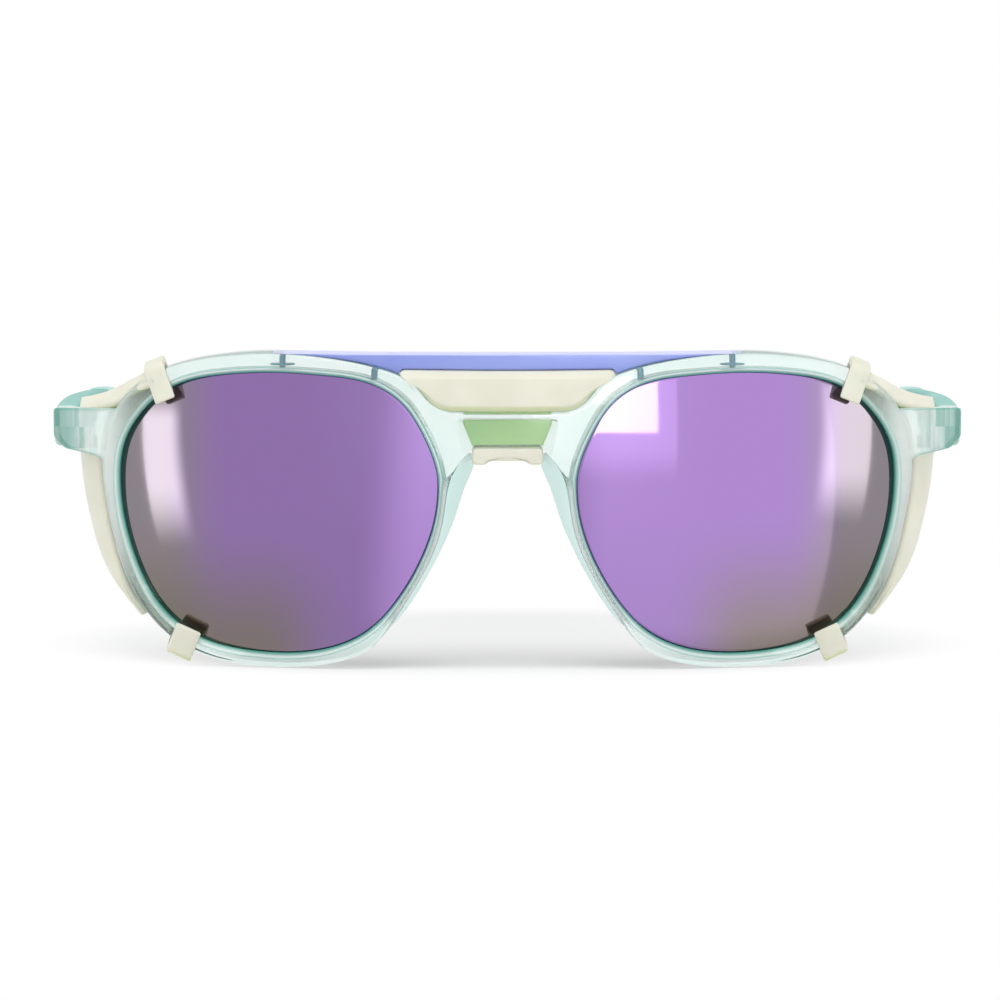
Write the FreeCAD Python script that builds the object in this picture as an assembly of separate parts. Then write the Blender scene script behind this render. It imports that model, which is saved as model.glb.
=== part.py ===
"""Glacier glasses with removable side shields, as an assembly of separate pieces.

Millimetres.  +X is to the right of a viewer who faces the lenses, -Y is the way the
lenses look, +Z is up.  The glasses stand open on the floor plane z = 0, on the two rim
bottoms and the two temple tips, and the origin is under the middle of their box.

The front is drawn upright in a frame of its own, with z = 0 at the rim bottoms and
y = 0 at the foremost point of its face, and is then tilted and lifted on to the floor.
The right-hand half is drawn and the left-hand half is its mirror image.
"""
import FreeCAD, Part
import math
import os

V = FreeCAD.Vector

# ------------------------------------------------------------------ driving sizes
# front
FRONT_RADIUS = 160.0      # ball that the front face lies on
FRONT_THICKNESS = 4.0
CURVE_CENTRE_Z = 25.5     # height of the ball's centre above the rim bottoms
TILT = 9.0                # degrees, rim bottoms set back from the brow
FRONT_SETBACK = 8.0

# eyes
EYE_WIDTH = 52.6
EYE_HEIGHT = 45.8
RIM_WIDTH = 2.4
BRIDGE_WIDTH = 20.8       # between the two openings
BRIDGE_LAP = 1.0          # each half of the front runs this far past the middle
OPENING_BEVEL = 0.8
DRAWN_EYE = (52.6, 45.8, 2.4)   # width, height and rim that these outlines are drawn for
EYE_SHAPE = [(0.0, 22.9), (9.7, 22.1), (17.4, 20.0), (23.3, 15.2), (26.4, 9.6), (27.0, 4.3),
             (26.4, -1.8), (24.3, -9.2), (20.2, -16.6), (13.5, -21.3), (4.5, -22.9),
             (-5.0, -22.4), (-13.0, -19.4), (-19.0, -13.5), (-23.3, -6.0), (-25.5, 1.0),
             (-25.6, 7.4), (-23.3, 13.6), (-19.5, 18.9), (-14.5, 21.7), (-7.5, 22.7)]
# outside of the rim, from the top of the lower bridge round the eye to its underside
RIM_SHAPE = [(-27.4, 17.5), (-25.4, 18.0), (-23.3, 20.2), (-20.4, 22.6), (-16.5, 24.1), (-8.3, 25.5),
             (0.3, 25.9), (9.3, 25.0), (17.3, 22.9), (23.6, 19.0), (27.3, 13.0), (28.4, 5.7),
             (27.5, -1.3), (25.7, -9.1), (22.3, -16.3), (16.8, -21.9), (9.3, -24.8), (0.8, -25.3),
             (-7.7, -24.4), (-14.7, -21.4), (-19.4, -15.0), (-23.8, -7.3), (-26.3, 0.7),
             (-27.8, 7.7), (-31.1, 11.6)]

# lenses
LENS_RADIUS = 88.0
LENS_THICKNESS = 1.8
LENS_BITE = 0.6           # how far the lens edge enters the rim
LENS_PROUD = 0.3          # lens vertex in front of the front face
LENS_CLEARANCE = 0.05

# lower bridge, between the eyes
SCOOP_LIP = 0.9           # rim of face left above the scoop
SCOOP_DEPTH = 1.8
SCOOP_FROM_EYE = 1.0      # its top corners, inboard of the openings

# brow bar
BAR_RISE = 1.0            # top of the bar above the rims
BAR_TOP_DROP = 0.7        # ends of the top edge below its middle
BAR_HEIGHT = 2.9
BAR_CORNER_DROP = 1.2     # the underside's ends reach this far down beside the guard
BAR_OVERHANG = 0.6        # ends of the bar outboard of the eye centres
BAR_SETBACK = 0.5
BAR_DEPTH = 3.0
PEG_RADIUS = 0.5
PEG_LENGTH = 1.6
PEG_HEAD = 0.9            # bar left above the pegs
PEG_SETS = (1.1, 15.7)    # inboard of the eye centre
PEG_CLEARANCE = 0.03

# bridge guard, a soft plug between the bar and the lower bridge
GUARD_PROUD = 0.7
GUARD_BEVEL = 0.9
GUARD_FLANGE = 0.9
GUARD_FLANGE_LAP = 1.2
GUARD_CORNER = 19.4       # its top corners, inboard of the eye centre
GUARD_CORNER_RUN = 1.4    # length across of each slanted top corner

# nose saddle and nose pads
SADDLE_HALF_WIDTH = 5.7
SADDLE_THICKNESS = 2.0
SADDLE_FOOT = 0.7
SADDLE_LENGTH = 5.6
SADDLE_SETBACK = 1.2
SADDLE_BACK_HEIGHT = 4.3
SADDLE_BACK_FLARE = 1.8   # its lip's top corners outboard of its sides
SADDLE_BACK_THICKNESS = 1.5
PAD_LENGTH = 8.0          # how far the pad edge stands behind the front face
PAD_EDGE = 1.6
PAD_SETBACK = 0.35
# height, where the pad leaves the rim, and its free edge, both from the eye centre
PAD_SECTIONS = [(10.2, -27.9, -31.2), (8.6, -27.8, -31.6), (4.7, -27.1, -30.4), (-0.3, -26.0, -28.7),
                (-5.3, -24.7, -26.7), (-9.8, -22.4, -24.5), (-14.3, -19.9, -22.0), (-17.8, -17.3, -19.7)]

# end pieces and hinges, heights above the floor
HINGE_OUT = 4.0           # hinge axis outboard of the eye opening
END_RISE = 16.2           # top of the end pieces above the eye centres
END_HEIGHT = 6.5
END_WIDTH = 11.6          # from inboard of the rim's edge to the outside
END_SIDE = 6.1            # outer side outboard of the hinge axis
END_DEPTH = 6.0           # face to back at the hinge axis
END_CHAMFER = 1.8
END_GUSSET = 1.6
HINGE_SETBACK = 2.2       # axis behind the end piece
KNUCKLE_RADIUS = 1.9
KNUCKLE_GAP = 0.1
SCREW_RADIUS = 0.7
SCREW_HEAD_RADIUS = 1.15
SCREW_HEAD_HEIGHT = 0.7
SCREW_CLEARANCE = 0.05
SCREW_SLOT = 0.3
NUT_RADIUS = 1.25         # across the corners
NUT_HEIGHT = 1.1

# temples, distances behind the end piece
TEMPLE_THICKNESS = 3.8
TEMPLE_HEIGHT = 6.3
TEMPLE_WAIST = 4.8        # height where the sleeve starts
TEMPLE_STOP_GAP = 0.15
SLEEVE_START = 78.0
SLEEVE_HEIGHT = 5.4
SLEEVE_WALL = 0.4         # how much the sleeve stands out on each side of the arm
BEND_START = 82.0
BEND_RADIUS = 19.0
BEND_ANGLE = 55.0
BEND_CENTRELINE_DROP = 2.5  # below the top of the end pieces
# outer side of the temple seen from above: distance behind the end piece, and how far
# it stands outboard of the end piece's side
TEMPLE_BOW = [(0.0, 0.0), (35.0, 1.5), (62.0, 1.2), (88.0, -1.9), (108.0, -6.2), (124.0, -11.2)]
CORE_RADIUS = 0.7
CORE_LEAD = 20.0          # how far the wire runs inside the arm
CORE_CLEARANCE = 0.02
CORE_END_GAP = 11.0       # wire end to tip end
LANYARD_RADIUS = 1.25
LANYARD_INSET = 5.5       # hole centre to tip end

# side shields
SHIELD_SKIN = 1.4
SHIELD_FRONT_LAP = 0.9    # thickness of a hook in front of the rim
SHIELD_LIP = 1.0          # strap edge outboard of the rim
SHIELD_INNER_LAP = 2.6    # strap edge inboard of the opening
SHIELD_CLEARANCE = 0.2    # to the end piece
STRAP_FROM_EYE = 13.8     # inner end of the strap, outboard of the eye centre
# hook outlines, across and up from the eye centre
UPPER_HOOK = [(18.5, 23.8), (20.7, 21.8), (21.3, 20.0), (19.3, 16.7), (16.5, 18.7)]
LOWER_HOOK = [(16.2, -18.6), (18.5, -22.6), (14.3, -25.2), (12.7, -20.2)]
# leaf: height, then (outboard of the eye centre, behind the leaf's front) for its root,
# its middle and its rear edge; heights are drawn for a top edge at 34.4
DRAWN_LEAF_TOP = 34.4
LEAF_GAP = 0.6            # top edge below the temple
LEAF_SETBACK = 2.2        # leaf's front before the back of the end piece
LEAF_SECTIONS = [(34.4, (29.3, 0.9), (32.6, 10.0), (32.9, 21.0)),
                 (29.0, (28.9, 0.7), (32.0, 9.0), (32.2, 17.5)),
                 (22.5, (27.9, 0.5), (30.6, 7.0), (30.7, 13.0)),
                 (16.5, (26.3, 0.3), (28.6, 5.0), (28.6, 9.0)),
                 (11.5, (24.3, 0.1), (25.5, 2.6), (25.5, 5.2)),
                 (8.0, (21.9, -0.4), (22.6, 1.2), (22.5, 2.8))]
# arm over the end piece: outboard of the eye centre, then (behind the front's face, above
# the end piece) for its front edge and its rear edge, drawn for an end piece 16.2 up
DRAWN_END_RISE = 16.2
ARM_SECTIONS = [(20.7, (-1.1, 4.3), (1.3, 6.5)),
                (23.7, (-0.2, 2.8), (2.8, 5.0)),
                (26.3, (1.0, 1.2), (4.7, 3.5)),
                (29.3, (1.7, 0.4), (5.9, 2.4)),
                (32.1, (1.8, 0.3), (7.2, 1.7))]
ARM_THICKNESS = 1.6

# ------------------------------------------------------------------ general helpers
REACH = 60.0              # longer than the front is deep, for cutting right through


def spline(points):
    """Edge of one smooth curve through the points."""
    curve = Part.BSplineCurve()
    curve.interpolate(Points=points)
    return curve.toShape()


def closed_spline(points):
    """Wire of one smooth closed curve through the points."""
    curve = Part.BSplineCurve()
    curve.interpolate(Points=points, PeriodicFlag=True)
    return Part.Wire([curve.toShape()])


def polygon(points):
    return Part.makePolygon(list(points) + [points[0]])


def extrude(wire, direction):
    return Part.Face(wire).extrude(direction)


def through_front(outline):
    """Prism front to back of an outline in x and z, drawn as (x, z) pairs."""
    wire = polygon([V(x, -REACH / 2, z) for x, z in outline])
    return extrude(wire, V(0, REACH, 0))


def mirrored(shape):
    return shape.mirror(V(0, 0, 0), V(1, 0, 0))


def both_sides(shape):
    return shape.fuse(mirrored(shape))


def box(x0, x1, y0, y1, z0, z1):
    return Part.makeBox(x1 - x0, y1 - y0, z1 - z0, V(x0, y0, z0))


def joined(first, *others):
    return first.fuse(list(others)).removeSplitter()


# ------------------------------------------------------------------ front geometry
# what goes round an eye is drawn once, round DRAWN_EYE, and stretched to the real sizes
EYE_X = (BRIDGE_WIDTH + EYE_WIDTH) / 2
EYE_Z = EYE_HEIGHT / 2 + RIM_WIDTH
STRETCH_ACROSS = (EYE_WIDTH + 2 * RIM_WIDTH) / (DRAWN_EYE[0] + 2 * DRAWN_EYE[2])
STRETCH_UP = (EYE_HEIGHT + 2 * RIM_WIDTH) / (DRAWN_EYE[1] + 2 * DRAWN_EYE[2])


def by_rim(out, up=0.0):
    """(x, z) of a place drawn out from and above the eye centre, on or near the rim."""
    return EYE_X + out * STRETCH_ACROSS, EYE_Z + up * STRETCH_UP


RIM_POINTS = [by_rim(u, v) for u, v in RIM_SHAPE]
RIM_TOP = max(z for x, z in RIM_POINTS)
BRIDGE_TOP = RIM_POINTS[0][1]
BRIDGE_UNDERSIDE = RIM_POINTS[-1][1]
BAR_TOP = RIM_TOP + BAR_RISE
BAR_UNDERSIDE = BAR_TOP - BAR_HEIGHT
GUARD_HALF_TOP = EYE_X - GUARD_CORNER


def front_point(x, z, depth=0.0):
    """Point of the front at x and z, a given depth behind its face."""
    radius = FRONT_RADIUS - depth
    rise = z - CURVE_CENTRE_Z
    return V(x, FRONT_RADIUS - math.sqrt(radius ** 2 - x ** 2 - rise ** 2), z)


def front_ball(depth=0.0):
    return Part.makeSphere(FRONT_RADIUS - depth, V(0, FRONT_RADIUS, CURVE_CENTRE_Z))


def layer(depth_from, depth_to):
    """Layer of the front between two depths behind its face."""
    return front_ball(depth_from).cut(front_ball(depth_to))


def eye_outline(offset=0.0):
    """Points of the eye opening's outline, moved outward by an offset."""
    points = [(u * EYE_WIDTH / DRAWN_EYE[0], v * EYE_HEIGHT / DRAWN_EYE[1]) for u, v in EYE_SHAPE]
    if offset == 0.0:
        return points
    curve = Part.BSplineCurve()
    curve.interpolate(Points=[V(u, v, 0) for u, v in points], PeriodicFlag=True)
    count = 2 * len(points)
    moved = []
    for i in range(count):
        at = curve.FirstParameter + (curve.LastParameter - curve.FirstParameter) * i / count
        spot = curve.value(at)
        along = curve.tangent(at)[0]
        moved.append((spot.x - along.y * offset, spot.y + along.x * offset))
    return moved


EYE_TURN = math.asin(EYE_X / FRONT_RADIUS)
EYE_CENTRE = front_point(EYE_X, EYE_Z)
EYE_ACROSS = V(math.cos(EYE_TURN), math.sin(EYE_TURN), 0)
EYE_BACK = V(-math.sin(EYE_TURN), math.cos(EYE_TURN), 0)


def eye_point(u, v, depth):
    """Point across, above and behind the eye centre, square to the lens."""
    return EYE_CENTRE + EYE_ACROSS * u + V(0, 0, v) + EYE_BACK * depth


def eye_prism(offset=0.0):
    wire = closed_spline([eye_point(u, v, -REACH / 3) for u, v in eye_outline(offset)])
    return extrude(wire, EYE_BACK * REACH)


def lens_layer(gap=0.0):
    """The shell that the lens is part of, with a gap added on both faces."""
    centre = eye_point(0, 0, LENS_RADIUS - LENS_PROUD)
    outer = Part.makeSphere(LENS_RADIUS + gap, centre)
    return outer.cut(Part.makeSphere(LENS_RADIUS - LENS_THICKNESS - gap, centre))


def rim_edge():
    return spline([V(x, -REACH / 2, z) for x, z in RIM_POINTS])


def rim_prism():
    """Prism, square to the right lens, of the right-hand half of the front's outline."""
    across = [((front_point(x, z) - EYE_CENTRE).dot(EYE_ACROSS), z - EYE_Z) for x, z in RIM_POINTS]
    middle = (front_point(0, EYE_Z) - EYE_CENTRE).dot(EYE_ACROSS)
    path = [eye_point(u, v, -REACH / 3) for u, v in across]
    ends = [eye_point(middle - BRIDGE_LAP, across[i][1], -REACH / 3) for i in (0, -1)]
    wire = Part.Wire([Part.makeLine(ends[0], path[0]), spline(path), Part.makeLine(path[-1], ends[1]),
                      Part.makeLine(ends[1], ends[0])])
    right_half = box(0, 2 * REACH, -REACH, REACH, -REACH, 2 * REACH)
    return extrude(wire, EYE_BACK * REACH).common(right_half)


OUTLINE = both_sides(rim_prism())
PLATE = OUTLINE.common(layer(0.0, FRONT_THICKNESS))


def front_lift():
    """Height that stands the tilted rims on the floor."""
    edge = rim_edge()
    tilt = math.radians(TILT)
    spots = edge.discretize(Number=400)
    return -min(front_point(p.x, p.z).y * math.sin(tilt) + p.z * math.cos(tilt) for p in spots)


TILTED = FreeCAD.Placement(V(0, FRONT_SETBACK, front_lift()), FreeCAD.Rotation(V(1, 0, 0), TILT))


def stood_up(shape):
    """The shape moved from the front's own frame to the tilted front."""
    moved = shape.copy()
    moved.Placement = TILTED.multiply(moved.Placement)
    return moved


# ------------------------------------------------------------------ end piece places
HINGE_X = EYE_X + EYE_WIDTH / 2 + HINGE_OUT
END_TOP = EYE_Z + END_RISE
END_BOTTOM = END_TOP - END_HEIGHT
END_FACE_Y = TILTED.multVec(front_point(HINGE_X, END_TOP - END_HEIGHT / 2)).y
END_BACK_Y = END_FACE_Y + END_DEPTH
HINGE_Y = END_BACK_Y + HINGE_SETBACK
SIDE_X = HINGE_X + END_SIDE
KNUCKLE_HEIGHT = (END_HEIGHT - 4 * KNUCKLE_GAP) / 3
LOWER_EAR_Z = END_BOTTOM + KNUCKLE_GAP
MIDDLE_Z = LOWER_EAR_Z + KNUCKLE_HEIGHT + KNUCKLE_GAP
UPPER_EAR_Z = MIDDLE_Z + KNUCKLE_HEIGHT + KNUCKLE_GAP
UPPER_EAR_TOP = UPPER_EAR_Z + KNUCKLE_HEIGHT


def hinge_cylinder(radius, z, height):
    return Part.makeCylinder(radius, height, V(HINGE_X, HINGE_Y, z))


def end_piece():
    """Block that carries the hinge, with the front's own curved face."""
    inner = SIDE_X - END_WIDTH
    outline = [(inner, END_TOP), (SIDE_X, END_TOP), (SIDE_X, END_BOTTOM + END_CHAMFER),
               (SIDE_X - END_CHAMFER, END_BOTTOM), (inner + END_WIDTH / 3, END_BOTTOM - END_GUSSET),
               (inner, END_BOTTOM - END_GUSSET)]
    wire = polygon([V(x, END_BACK_Y, z) for x, z in outline])
    return extrude(wire, V(0, -REACH, 0)).common(stood_up(front_ball()))


def front_ears():
    """Upper and lower hinge knuckles of the front, with their webs."""
    ears = []
    for z in (LOWER_EAR_Z, UPPER_EAR_Z):
        web = box(HINGE_X - KNUCKLE_RADIUS, HINGE_X + KNUCKLE_RADIUS, END_BACK_Y - 1.0, HINGE_Y,
                  z, z + KNUCKLE_HEIGHT)
        ears += [web, hinge_cylinder(KNUCKLE_RADIUS, z, KNUCKLE_HEIGHT)]
    return ears


def hex_prism(corner_radius, z, height):
    corners = []
    for i in range(6):
        turn = math.radians(60 * i)
        corners.append(V(HINGE_X + corner_radius * math.cos(turn),
                         HINGE_Y + corner_radius * math.sin(turn), z))
    return extrude(polygon(corners), V(0, 0, height))


def hinge_drillings():
    """Screw hole, head seat and nut seat of one hinge."""
    hole = hinge_cylinder(SCREW_RADIUS + SCREW_CLEARANCE, END_BOTTOM - 1.0, END_HEIGHT + 2.0)
    head_z = UPPER_EAR_TOP - SCREW_HEAD_HEIGHT
    head = hinge_cylinder(SCREW_HEAD_RADIUS + SCREW_CLEARANCE, head_z, SCREW_HEAD_HEIGHT + 1.0)
    nut = hex_prism(NUT_RADIUS, LOWER_EAR_Z - 1.0, NUT_HEIGHT + 1.0)
    return [hole, head, nut]


# ------------------------------------------------------------------ front pieces
def scoop():
    """Hollow in the face of the lower bridge, open at the bottom."""
    top = BRIDGE_TOP - SCOOP_LIP
    low = BRIDGE_UNDERSIDE - 2.0
    half = BRIDGE_WIDTH / 2 - SCOOP_FROM_EYE
    face = [(half, top), (half - 1.2, low)]
    floor = [(half - 2.0, top - 0.3), (half - 4.5, low)]
    wires = []
    for depth, side in ((-1.0, face), (front_point(0, top).y + SCOOP_DEPTH, floor)):
        corners = side + [(-x, z) for x, z in reversed(side)]
        wires.append(polygon([V(x, depth, z) for x, z in corners]))
    return Part.makeLoft(wires, True, True)


def peg_axes():
    """Foot of each peg on the right: its x, y and the rim's top there."""
    axes = []
    edge = rim_edge()
    spots = [p for p in edge.discretize(Number=600) if p.z > EYE_Z + EYE_HEIGHT / 4]
    for inboard in PEG_SETS:
        x = EYE_X - inboard
        top = min(spots, key=lambda p: abs(p.x - x)).z
        axes.append((x, front_point(x, top).y + BAR_SETBACK + BAR_DEPTH / 2, top))
    return axes


def pegs(gap=0.0):
    shapes = []
    for x, y, top in peg_axes():
        foot = top - PEG_LENGTH - gap
        shapes.append(Part.makeCylinder(PEG_RADIUS + gap, BAR_TOP - PEG_HEAD - foot, V(x, y, foot)))
        shapes.append(mirrored(shapes[-1]))
    return shapes


def opening_edges(shape):
    """Closed edges where the eye openings leave the front face."""
    centre = V(0, FRONT_RADIUS, CURVE_CENTRE_Z)
    found = []
    for edge in shape.Edges:
        spots = edge.discretize(Number=9)
        on_face = all(abs(p.distanceToPoint(centre) - FRONT_RADIUS) < 0.01 for p in spots)
        if on_face and edge.isClosed():
            found.append(edge)
    return found


def front_frame():
    opening = eye_prism()
    groove = eye_prism(LENS_BITE + LENS_CLEARANCE).common(lens_layer(LENS_CLEARANCE))
    body = PLATE.cut([scoop(), opening, mirrored(opening)])
    body = body.makeChamfer(OPENING_BEVEL, opening_edges(body))
    body = stood_up(body.cut([groove, mirrored(groove)] + pegs(PEG_CLEARANCE)))
    block = joined(end_piece(), *front_ears()).cut(hinge_drillings())
    window = stood_up(eye_prism(LENS_BITE + LENS_CLEARANCE))
    block = block.cut(window)
    return joined(body, block, mirrored(block))


def lens():
    return stood_up(eye_prism(LENS_BITE).common(lens_layer()))


def brow_bar():
    """Stiff bar along the brow, seated on both rims and held by four pegs."""
    end = EYE_X + BAR_OVERHANG
    low = BAR_UNDERSIDE - BAR_CORNER_DROP
    under = [(end, BAR_TOP - BAR_TOP_DROP), (end, low), (GUARD_HALF_TOP, low),
             (GUARD_HALF_TOP - GUARD_CORNER_RUN, BAR_UNDERSIDE)]
    under += [(-x, z) for x, z in reversed(under)]
    path = [V(x, -REACH / 2, z) for x, z in under]
    crown = Part.Arc(path[-1], V(0, -REACH / 2, BAR_TOP), path[0]).toShape()
    wire = Part.Wire([crown] + Part.makePolygon(path).Edges)
    bar = extrude(wire, V(0, REACH, 0)).cut(OUTLINE)
    bar = bar.common(layer(BAR_SETBACK, BAR_SETBACK + BAR_DEPTH))
    return stood_up(joined(bar, *pegs()))


def guard_window(lap=0.0):
    """Prism of the window between the bar, the rims and the lower bridge."""
    side = GUARD_HALF_TOP + lap
    half = [(GUARD_HALF_TOP - GUARD_CORNER_RUN, BAR_UNDERSIDE + lap),
            (side, BAR_UNDERSIDE - BAR_CORNER_DROP + lap), (side, BRIDGE_TOP - lap)]
    blank = through_front(half + [(-x, z) for x, z in reversed(half)])
    return blank if lap else blank.cut(OUTLINE)


def bridge_guard():
    """Soft plug in the window, with a raised face in front and a flange behind."""
    back_depth = FRONT_THICKNESS + GUARD_FLANGE
    window = guard_window()
    plug = window.common(layer(0.0, back_depth))
    width = 2 * GUARD_HALF_TOP
    height = BAR_UNDERSIDE - BRIDGE_TOP
    middle = (BAR_UNDERSIDE + BRIDGE_TOP) / 2
    shrink = FreeCAD.Matrix()
    shrink.move(V(0, 0, -middle))
    shrink.scale(1 - 2 * GUARD_BEVEL / width, 1.0, 1 - 2 * GUARD_BEVEL / height)
    shrink.move(V(0, 0, middle))
    raised = window.common(layer(-GUARD_PROUD, GUARD_FLANGE)).transformGeometry(shrink)
    flange = guard_window(GUARD_FLANGE_LAP).common(layer(FRONT_THICKNESS, back_depth))
    return stood_up(joined(plug, raised, flange))


def nose_saddle():
    """Soft saddle under the lower bridge, with a lip up behind it and two feet."""
    w = SADDLE_HALF_WIDTH
    top = BRIDGE_UNDERSIDE
    low = top - SADDLE_THICKNESS
    foot = low - SADDLE_FOOT
    half = [(w, top), (w, foot + 0.4), (w - 0.5, foot), (w - 2.2, foot), (w - 2.9, low)]
    wire = polygon([V(x, SADDLE_SETBACK, z) for x, z in half + [(-x, z) for x, z in reversed(half)]])
    shelf = extrude(wire, V(0, SADDLE_LENGTH, 0))
    back_y = front_point(0, top).y + FRONT_THICKNESS
    side = [(w, top - 0.5), (w + SADDLE_BACK_FLARE, top + SADDLE_BACK_HEIGHT)]
    wire = polygon([V(x, back_y - 1.5, z) for x, z in side + [(-x, z) for x, z in reversed(side)]])
    lip = extrude(wire, V(0, SADDLE_BACK_THICKNESS + 1.5, 0))
    return stood_up(joined(shelf, lip).cut(PLATE))


def nose_pad():
    """Clear flank that leaves the rim's nose side and runs back along the nose."""
    wires = []
    for dv, root_u, edge_u in PAD_SECTIONS:
        root_x, z = by_rim(root_u, dv)
        edge_x = root_x + edge_u - root_u
        face_y = front_point(root_x, z).y
        wires.append(polygon([V(root_x + 0.7, face_y + PAD_SETBACK, z),
                              V(edge_x, face_y + PAD_LENGTH, z),
                              V(edge_x + PAD_EDGE, face_y + PAD_LENGTH + 0.6, z),
                              V(root_x + 0.6, face_y + FRONT_THICKNESS + 0.5, z)]))
    return stood_up(Part.makeLoft(wires, True, False).cut([PLATE, eye_prism(LENS_BITE + LENS_CLEARANCE)]))


# ------------------------------------------------------------------ hinge hardware
def hinge_screw():
    head_z = UPPER_EAR_TOP - SCREW_HEAD_HEIGHT
    shank = hinge_cylinder(SCREW_RADIUS, LOWER_EAR_Z + 0.2, head_z - LOWER_EAR_Z)
    head = hinge_cylinder(SCREW_HEAD_RADIUS, head_z, SCREW_HEAD_HEIGHT)
    slot = box(HINGE_X - 2.0, HINGE_X + 2.0, HINGE_Y - SCREW_SLOT / 2, HINGE_Y + SCREW_SLOT / 2,
               head_z + SCREW_HEAD_HEIGHT / 2, head_z + 2.0)
    return joined(shank, head).cut(slot)


def hinge_nut():
    bore = hinge_cylinder(SCREW_RADIUS + SCREW_CLEARANCE / 2, LOWER_EAR_Z - 1.0, NUT_HEIGHT + 2.0)
    return hex_prism(NUT_RADIUS, LOWER_EAR_Z, NUT_HEIGHT).cut(bore)


# ------------------------------------------------------------------ temples
def back(distance):
    """Y of a point a distance behind the end piece."""
    return END_BACK_Y + distance


BEND_SIN = math.sin(math.radians(BEND_ANGLE))
BEND_COS = math.cos(math.radians(BEND_ANGLE))
BEND_CENTRELINE_Z = END_TOP - BEND_CENTRELINE_DROP
BEND_END_S = BEND_START + BEND_RADIUS * BEND_SIN
BEND_END_Z = BEND_CENTRELINE_Z - BEND_RADIUS * (1 - BEND_COS)
DROP_LENGTH = (BEND_END_Z - SLEEVE_HEIGHT / 2) / BEND_SIN


def drop_point(distance, out=0.0):
    """(s, z) on the straight drop, a distance after the bend, moved outward."""
    return (BEND_END_S + distance * BEND_COS + out * BEND_SIN,
            BEND_END_Z - distance * BEND_SIN + out * BEND_COS)


def bend_point(turn, out=0.0):
    """(s, z) on the bend after a turn in degrees, moved outward."""
    a = math.radians(turn)
    r = BEND_RADIUS + out
    return (BEND_START + r * math.sin(a), BEND_CENTRELINE_Z - BEND_RADIUS + r * math.cos(a))


def side_profile(points_and_arcs):
    """Face in the plane x = 0 from lines (p, q) and arcs (p, middle, q) of (s, z) points."""
    edges = []
    for item in points_and_arcs:
        spots = [V(0, back(s), z) for s, z in item]
        if len(spots) == 2:
            edges.append(Part.LineSegment(*spots).toShape())
        else:
            edges.append(Part.Arc(*spots).toShape())
    return Part.Face(Part.Wire(edges))


def bow_prism(wall=0.0):
    """Prism, full height, of the temple's bowed thickness seen from above."""
    outer = [V(SIDE_X + out + wall, back(s), -REACH / 2) for s, out in TEMPLE_BOW]
    inner = [V(p.x - TEMPLE_THICKNESS - 2 * wall, p.y, p.z) for p in outer]
    edges = [spline(outer), spline(inner), Part.LineSegment(outer[0], inner[0]).toShape(),
             Part.LineSegment(outer[-1], inner[-1]).toShape()]
    return extrude(Part.Wire(Part.sortEdges(edges)[0]), V(0, 0, 2 * REACH))


def core_path():
    """Path of the wire from inside the arm to near the tip, its start and its direction there."""
    corner_s = BEND_START + BEND_RADIUS * math.tan(math.radians(BEND_ANGLE / 2))
    bend_length = DROP_LENGTH + SLEEVE_HEIGHT / 2 - CORE_END_GAP
    end_s, end_z = drop_point(bend_length)
    stations = [(SLEEVE_START - CORE_LEAD, BEND_CENTRELINE_Z), (corner_s, BEND_CENTRELINE_Z), (end_s, end_z)]
    start, corner, end = [V(bow_centre(s), back(s), z) for s, z in stations]
    into = (start - corner).normalize()
    out = (end - corner).normalize()
    half = into.getAngle(out) / 2
    trim = BEND_RADIUS / math.tan(half)
    first, last = corner + into * trim, corner + out * trim
    middle_way = (into + out).normalize()
    middle = corner + middle_way * (BEND_RADIUS / math.sin(half) - BEND_RADIUS)
    path = Part.Wire([Part.LineSegment(start, first).toShape(), Part.Arc(first, middle, last).toShape(),
                      Part.LineSegment(last, end).toShape()])
    return path, start, into * -1


def bow_centre(s):
    """X of the temple's middle at a distance behind the end piece."""
    curve = Part.BSplineCurve()
    curve.interpolate(Points=[V(SIDE_X + out, at, 0) for at, out in TEMPLE_BOW])
    spots = curve.toShape().discretize(Number=300)
    return min(spots, key=lambda p: abs(p.y - s)).x - TEMPLE_THICKNESS / 2


def core_wire(gap=0.0):
    """Bendable steel wire along its path, or the hole for it with a gap all round."""
    path, start, along = core_path()
    ring = Part.Wire([Part.makeCircle(CORE_RADIUS + gap, start, along)])
    return path.makePipeShell([ring], True, False)


def temple_arm():
    """Stiff arm from the hinge to the sleeve, with the middle knuckle."""
    low = END_TOP - TEMPLE_HEIGHT
    waist = TEMPLE_WAIST / 2
    face = side_profile([((TEMPLE_STOP_GAP, END_TOP), (SLEEVE_START, BEND_CENTRELINE_Z + waist)),
                         ((SLEEVE_START, BEND_CENTRELINE_Z + waist), (SLEEVE_START, BEND_CENTRELINE_Z - waist)),
                         ((SLEEVE_START, BEND_CENTRELINE_Z - waist), (TEMPLE_STOP_GAP, low)),
                         ((TEMPLE_STOP_GAP, low), (TEMPLE_STOP_GAP, END_TOP))])
    arm = face.extrude(V(2 * REACH, 0, 0)).common(bow_prism())
    web = box(HINGE_X, SIDE_X - TEMPLE_THICKNESS + 1.0, HINGE_Y - KNUCKLE_RADIUS, HINGE_Y + KNUCKLE_RADIUS,
              MIDDLE_Z, MIDDLE_Z + KNUCKLE_HEIGHT)
    knuckle = hinge_cylinder(KNUCKLE_RADIUS, MIDDLE_Z, KNUCKLE_HEIGHT)
    bore = hinge_cylinder(SCREW_RADIUS + SCREW_CLEARANCE, MIDDLE_Z - 1.0, KNUCKLE_HEIGHT + 2.0)
    return joined(arm, web, knuckle).cut([bore, core_wire(CORE_CLEARANCE)])


def lanyard_centre():
    """Middle of the right-hand cord hole near the temple tip."""
    hole_s, hole_z = drop_point(DROP_LENGTH + SLEEVE_HEIGHT / 2 - LANYARD_INSET)
    return V(bow_centre(hole_s), back(hole_s), hole_z)


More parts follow.
